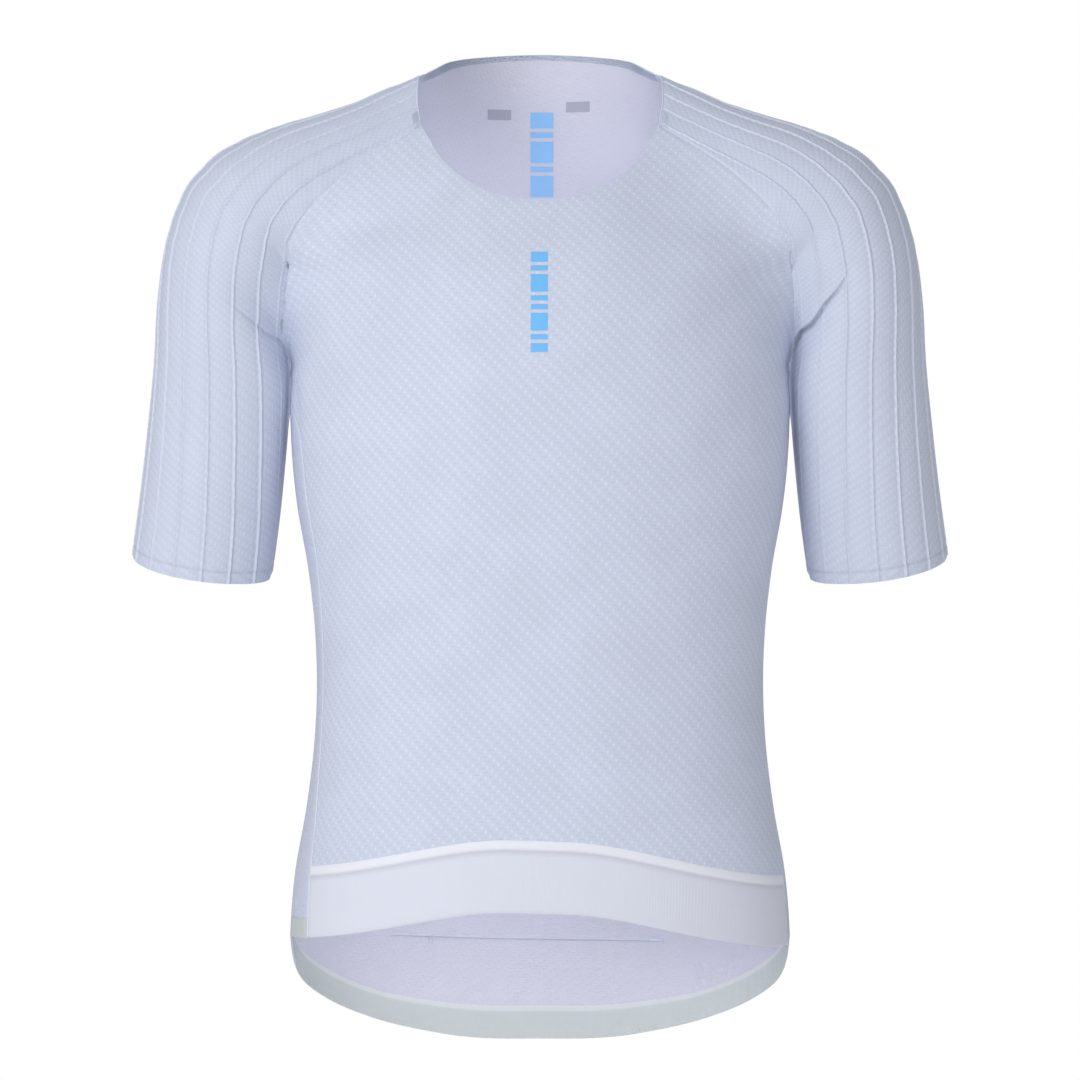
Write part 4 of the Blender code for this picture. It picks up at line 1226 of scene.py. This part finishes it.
def make_back(raglan, neck):
    shares = np.array([0, 0.03, 0.07, 0.13, 0.25, 0.4, 0.55, 0.7, 0.78, 0.82, 0.86, 0.93, 0.97, 1])
    rows = []
    for share in shares:

        def seam(angle, share=share):
            return back_hem(angle) + back_band_height(angle) * share

        rows.append(hem_row(seam, (1, -1), 180))
    # seam is the top of the band here, where the last share is 1
    grid, out, cut, across, up, sides = body(rows, seam, (1, -1), np.concatenate([raglan, neck]), 180)
    low, high = len(rows) - 1, len(grid) - len(neck)
    foot, middle, crown = slice(0, low + 1), slice(low, high), slice(high - 1, None)
    edges = hill(shares, 0.05) + hill(1 - shares, 0.05)
    strip = np.broadcast_to(smoothstep(0.80, 0.86, shares)[:, None], sides[foot].shape)
    grip = shell(
        "back_hem_band_cloth", cut[foot], out[foot], "grip", wall=BAND_WALL,
        relief=sides[foot] - 0.0005 * edges[:, None], flat=(across[foot], up[foot]), inner_marks=0.7 * strip,
    )
    settle(grip, "back_hem_band", (np.ptp(across[foot]), GRIP_HEIGHT), area_of(grid[foot]))
    trim = shell(
        "back_neck_band_cloth", cut[crown], out[crown], "trim", relief=sides[crown],
        flat=(across[crown], up[crown]),
    )
    size = (np.ptp(across[crown]), NECK_TRIM_HEIGHT)
    settle(trim, "back_neck_band", size, area_of(grid[crown]))
    # The back also gets a painted glow near the armpits, from shine.
    back = shell(
        "back_cloth", cut[middle], out[middle], "back", flat=knit_place(grid[middle], 180),
        relief=sides[middle] + snug(grid[middle], *SNUG_SIDES), glow=shine(grid[middle]),
    )
    settle(back, "back", (np.ptp(across[middle]), np.ptp(up[middle])), area_of(grid[middle]))

    inside = np.abs(ACROSS) <= POCKET_HALF + POCKET_MARGIN
    share = np.abs(ACROSS[inside]) / POCKET_HALF
    slant = np.clip((share - POCKET_SLANT_FROM) / (1 - POCKET_SLANT_FROM), 0, 1)
    mouth = POCKET_TOP - POCKET_SLANT * slant
    base = POCKET_BASE - POCKET_TURN + 0 * share
    patch, directions = between(cut[middle][:, inside], out[middle][:, inside], base, mouth, 60)
    spread_out, height = measure(patch)
    from_edge = np.minimum(from_sides(spread_out), np.minimum(height, height[-1] - height))
    hem = smoothstep(*POCKET_HEM, height[-1] - height)
    divided = np.minimum.reduce([np.abs(ACROSS[inside] - at) for at in POCKET_DIVIDES]) * 0.25
    bag = smoothstep(0, 0.03, np.minimum(np.minimum(from_sides(spread_out), height), divided))
    relief = POCKET_LIFT + POCKET_HEM_LIFT * hem + POCKET_BAG * bag * smoothstep(0, 0.05, height)
    relief = relief - 0.0005 * hill(from_edge, 0.0009)
    place = knit_place(patch, 180)
    pockets = shell("back_pockets_cloth", patch, directions, "back", wall=-0.0001, relief=relief, flat=place)
    settle(pockets, "back_pockets", (np.ptp(spread_out), np.ptp(height)), area_of(patch))
    return grid, out, (patch, directions, relief)


# --- Threads, edges and prints ----------------------------------------------------------------------


def extra(name, points, faces, finish):
    """One more mesh on the garment."""
    mesh = bpy.data.meshes.new(name)
    mesh.from_pydata(np.asarray(points).tolist(), [], [tuple(face) for face in faces])
    piece = finished(mesh, FINISHES[finish], 50)
    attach(piece, "root")
    return piece


def cord_mesh(path, out, wide, high, sides):
    """Points and faces of a cord on a path, by its half width over the cloth and half height out of it."""
    beside = unit(np.cross(out, unit(np.gradient(path, axis=0))))
    turn = np.linspace(0, 2 * math.pi, sides, endpoint=False)
    rings = (
        path[:, None]
        + beside[:, None] * np.cos(turn)[:, None] * wide
        + out[:, None] * np.sin(turn)[:, None] * high
    )
    count = len(path)
    i, j = np.meshgrid(np.arange(count - 1), np.arange(sides), indexing="ij")
    a, b = i * sides + j, i * sides + (j + 1) % sides
    faces = [tuple(face) for face in np.stack([b, a, a + sides, b + sides], axis=2).reshape(-1, 4)]
    faces += [tuple(range(sides)), tuple(range(count * sides - 1, (count - 1) * sides - 1, -1))]
    return rings.reshape(-1, 3), faces


def cords(name, runs, finish):
    """One mesh of cords, one along each run of points and directions."""
    points, faces = [], []
    for path, out in runs:
        first = sum(len(part) for part in points)
        part, sheets = cord_mesh(path, out, *CORDS[name])
        points.append(part)
        faces += [tuple(index + first for index in face) for face in sheets]
    return extra(name, np.concatenate(points), faces, finish)


def stitches(path, out, length, gap):
    """The runs of a line of stitches: short pieces of a path, with gaps between."""
    both = evenly(np.concatenate([path, out], axis=1), (length + gap) / 4)
    runs = []
    for start in range(0, len(both) - 3, 4):
        part = both[start : start + 3]
        runs.append((part[:, :3], unit(part[:, 3:])))
    return runs


def on_form(x, z, side):
    """Points and directions on the front (-1) or back (1) of the form at places across and up."""
    x, z = np.broadcast_arrays(np.asarray(x, float), np.asarray(z, float))
    origin = np.stack([x.ravel(), 0 * x.ravel(), z.ravel()], axis=1)
    points = cast(origin, np.array([[0, side, 0]]), 0.2, form_distance).reshape(*x.shape, 3)
    out = outward(points)
    return folded(points, out), out


def prints(name, bars, side, lift, finish):
    """Flat bars printed on the cloth. Each bar is (left, right, low, high)."""
    points, faces = [], []
    for left, right, low, high in bars:
        rises = np.linspace(low, high, max(int((high - low) / 0.003), 1) + 2)
        spots, out = on_form(*np.meshgrid(np.linspace(left, right, 5), rises), side)
        faces.append(wall_faces(*spots.shape[:2]) + sum(len(part) for part in points))
        points += [(spots + out * level).reshape(-1, 3) for level in (lift + PRINT_WALL, lift)]
    faces = np.concatenate(faces)[:, ::-side]
    return extra(name, np.concatenate(points), faces, finish)


def make_extras(columns, head, front, front_out, back, back_out, pocket):
    runs = []
    for column in (0, -1):
        low = front[:, column, 2] < UNDERARM_Z
        line, out = front[low, column], front_out[low, column]
        runs.append((folded(line, out) - out * SEAM_ROLL * 0.9, out))
    cords("side_seams", runs, "seam")

    neck = evenly(folded(front[-1], front_out[-1]) - front_out[-1] * NECK_EDGING_DEPTH, EDGE_STEP)
    nape = evenly(back[-1] - back_out[-1] * EDGING_DEPTH, EDGE_STEP)
    runs = [(line, outward(line)) for line in (neck, nape)]
    cords("neck_edging", runs, "seam")
    runs = []
    on_neck = (columns >= BACK_CORNER - SAME) & (columns <= FRONT_CORNER + SAME)
    for side in (1, -1):
        line = evenly(head[on_neck] * (side, 1, 1), EDGE_STEP)
        out = outward(line)
        runs.append((line - out * EDGING_DEPTH, out))
    cords("sleeve_edging", runs, "edge")

    runs = []
    for side in (1, -1):
        rib = np.linspace(*OVERLOCK, OVERLOCK_TURNS)
        deep = np.where(np.arange(OVERLOCK_TURNS) % 2, *OVERLOCK_DEPTHS)
        loops = sleeve_points(head_s(rib) + deep, rib) * (side, 1, 1)
        out = outward(loops)
        runs.append((loops + out * 0.0003, out))
    cords("overlock", runs, "edge")

    patch, directions, relief = pocket
    at = ACROSS[np.abs(ACROSS) <= POCKET_HALF + POCKET_MARGIN]
    thread_on = patch + directions * (relief[..., None] + 0.00015)
    runs = []
    for row in (1, -5):
        runs += stitches(thread_on[row, 1:-1], directions[row, 1:-1], *STITCH)
    for column in (1, -2, *(int(np.argmin(abs(at - divide))) for divide in POCKET_DIVIDES)):
        runs += stitches(thread_on[1:-1, column], directions[1:-1, column], *STITCH)
    cords("pocket_stitches", runs, "stitch")

    x = np.linspace(*POCKET_SEAM["x"][[0, -1]], 70)
    seam = read(POCKET_SEAM, "z", x, "x")
    for name, rise, finish in (("pocket_seam_inside", 0, "stitch"), ("pocket_seam_edge", 0.0009, "edge")):
        line, out = on_form(x, seam + rise, 1)
        cords(name, [(line - out * (WALL + 0.0001), out)], finish)
    runs = []
    for x in TACK_COLUMNS:
        line, out = on_form(np.full(4, x), np.linspace(*TACK_HEIGHTS, 4), 1)
        runs.append((line - out * (WALL + TACK_LIFT), out))
    for rise in TACK_RISES:
        line, out = on_form(np.linspace(*TACK_SPAN, 8), np.full(8, TACK_LEVEL + rise), 1)
        runs.append((line - out * (WALL + TACK_LIFT), out))
    cords("bar_tacks", runs, "edge")


# --- Build ------------------------------------------------------------------------------------------

columns, head = make_sleeves()
front, front_out = make_front(head[columns >= FRONT_CORNER - SAME][::-1])
behind = columns <= BACK_BAND_FOOT + SAME
beside = ~behind & (columns <= BACK_CORNER + SAME)
back, back_out, pocket = make_back(np.concatenate([head[-1:], head[behind]]), head[beside])
make_extras(columns, head, front, front_out, back, back_out, pocket)

chest = [(*CHEST_COLUMN, top - tall, top) for top, tall in CHEST_BARS]
prints("chest_print", chest, -1, PRINT_LIFT, "chest")
inner = [(*NAPE_COLUMN, top - tall, top) for top, tall in NAPE_BARS]
prints("nape_print", inner, 1, INNER_PRINT_LIFT, "inside")
prints("label_blocks", LABEL_BLOCKS, 1, INNER_PRINT_LIFT, "label")


# --- Stage, light and camera ------------------------------------------------------------------------


def floor():
    """A pale round floor, which runs into the white of the studio at its rim."""
    count = FLOOR_SIDES
    points, faces = [], []
    turns = np.arange(count) * 2 * math.pi / count
    for radius in FLOOR_RINGS:
        points += [(radius * math.cos(t), radius * math.sin(t), FLOOR_Z) for t in turns]
    for ring in range(len(FLOOR_RINGS) - 1):
        for i in range(count):
            a, b = ring * count + i, ring * count + (i + 1) % count
            faces.append((a, a + count, b + count, b))
    mesh = bpy.data.meshes.new("floor")
    mesh.from_pydata(points, [], faces)
    look = Look("floor_paper")
    place = look.node("TexCoord")["Object"]
    grain = look.node("TexNoise", {"Vector": place, "Scale": 3.0})["Fac"]
    rim = look.ramp(look.vector("LENGTH", place), FLOOR_FADE[0], FLOOR_FADE[1])
    paper = look.tint(grain, (0.86, 0.86, 0.87), (0.89, 0.89, 0.90))
    look.fill(look.surface, {"Base Color": look.tint(rim, paper, (0, 0, 0)), "Roughness": 0.9})
    white = look.tint(rim, (0, 0, 0), (1, 1, 1))
    look.fill(look.surface, {"Specular IOR Level": 0.0, "Emission Color": white, "Emission Strength": 1.0})
    return finished(mesh, look.made)


def lamp(name, place, aim, size, power, tall=None):
    data = bpy.data.lights.new(name, "AREA")
    data.shape, data.size, data.energy = "DISK", size, power
    if tall:
        data.shape, data.size_y = "RECTANGLE", tall
    made = linked(name, data)
    made.location = place
    made.visible_camera = False
    gaze = np.array(aim) - np.array(place)
    flat = math.hypot(gaze[0], gaze[1])
    made.rotation_euler = (math.atan2(flat, -gaze[2]), 0, math.atan2(gaze[1], gaze[0]) - math.pi / 2)
    return made


CAMERA_AWAY = 3.0
CAMERA_HEIGHT = -0.325
PHOTO_SPAN = 0.756  # what the picture takes in, across the body's middle plane
FLOOR_Z = -0.95
FLOOR_SIDES = 96
FLOOR_RINGS = (0.0005, 0.5, 1.0, 1.4, 1.9)
FLOOR_FADE = (1.15, 1.9)  # from the origin, between which it turns white
LAMPS = [
    ("key", (-1.72, -2.46, 0.0), (0, 0, -0.3), 1.5, 26.2),
    ("front", (0.1, -3.3, -0.1), (0, 0, -0.3), 1.2, 18.5),
    ("top_left", (-1.25, -1.2, 1.9), (0, 0, -0.2), 1.2, 8.3),
    ("rear", (0.4, 2.5, 0.9), (0, 0, -0.3), 1.5, 14),
    ("within", (-0.06, -0.03, -0.34), (-0.06, 0.1, -0.34), 0.1, 0.44, 0.44),  # inside, for cloth seen through
]
floor()
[lamp(*row) for row in LAMPS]

world = bpy.data.worlds.new("studio")
world.use_nodes = True
sky = world.node_tree.nodes["Background"]
sky.inputs["Color"].default_value = (0.95, 0.97, 1.0, 1)
sky.inputs["Strength"].default_value = 0.46
white = world.node_tree.nodes.new("ShaderNodeBackground")
white.inputs["Color"].default_value = (1, 1, 1, 1)
white.inputs["Strength"].default_value = 1.0
seen = world.node_tree.nodes.new("ShaderNodeLightPath")
choice = world.node_tree.nodes.new("ShaderNodeMixShader")
links = world.node_tree.links
links.new(seen.outputs["Is Camera Ray"], choice.inputs[0])
links.new(sky.outputs[0], choice.inputs[1])
links.new(white.outputs[0], choice.inputs[2])
links.new(choice.outputs[0], world.node_tree.nodes["World Output"].inputs["Surface"])
bpy.context.scene.world = world

camera = linked("camera", bpy.data.cameras.new("camera"))
camera.location = (0, -CAMERA_AWAY, CAMERA_HEIGHT)
camera.rotation_euler = (math.pi / 2, 0, 0)
camera.data.sensor_width = 36
camera.data.lens = camera.data.sensor_width * CAMERA_AWAY / PHOTO_SPAN
bpy.context.scene.camera = camera
bpy.context.scene.view_settings.view_transform = "Standard"
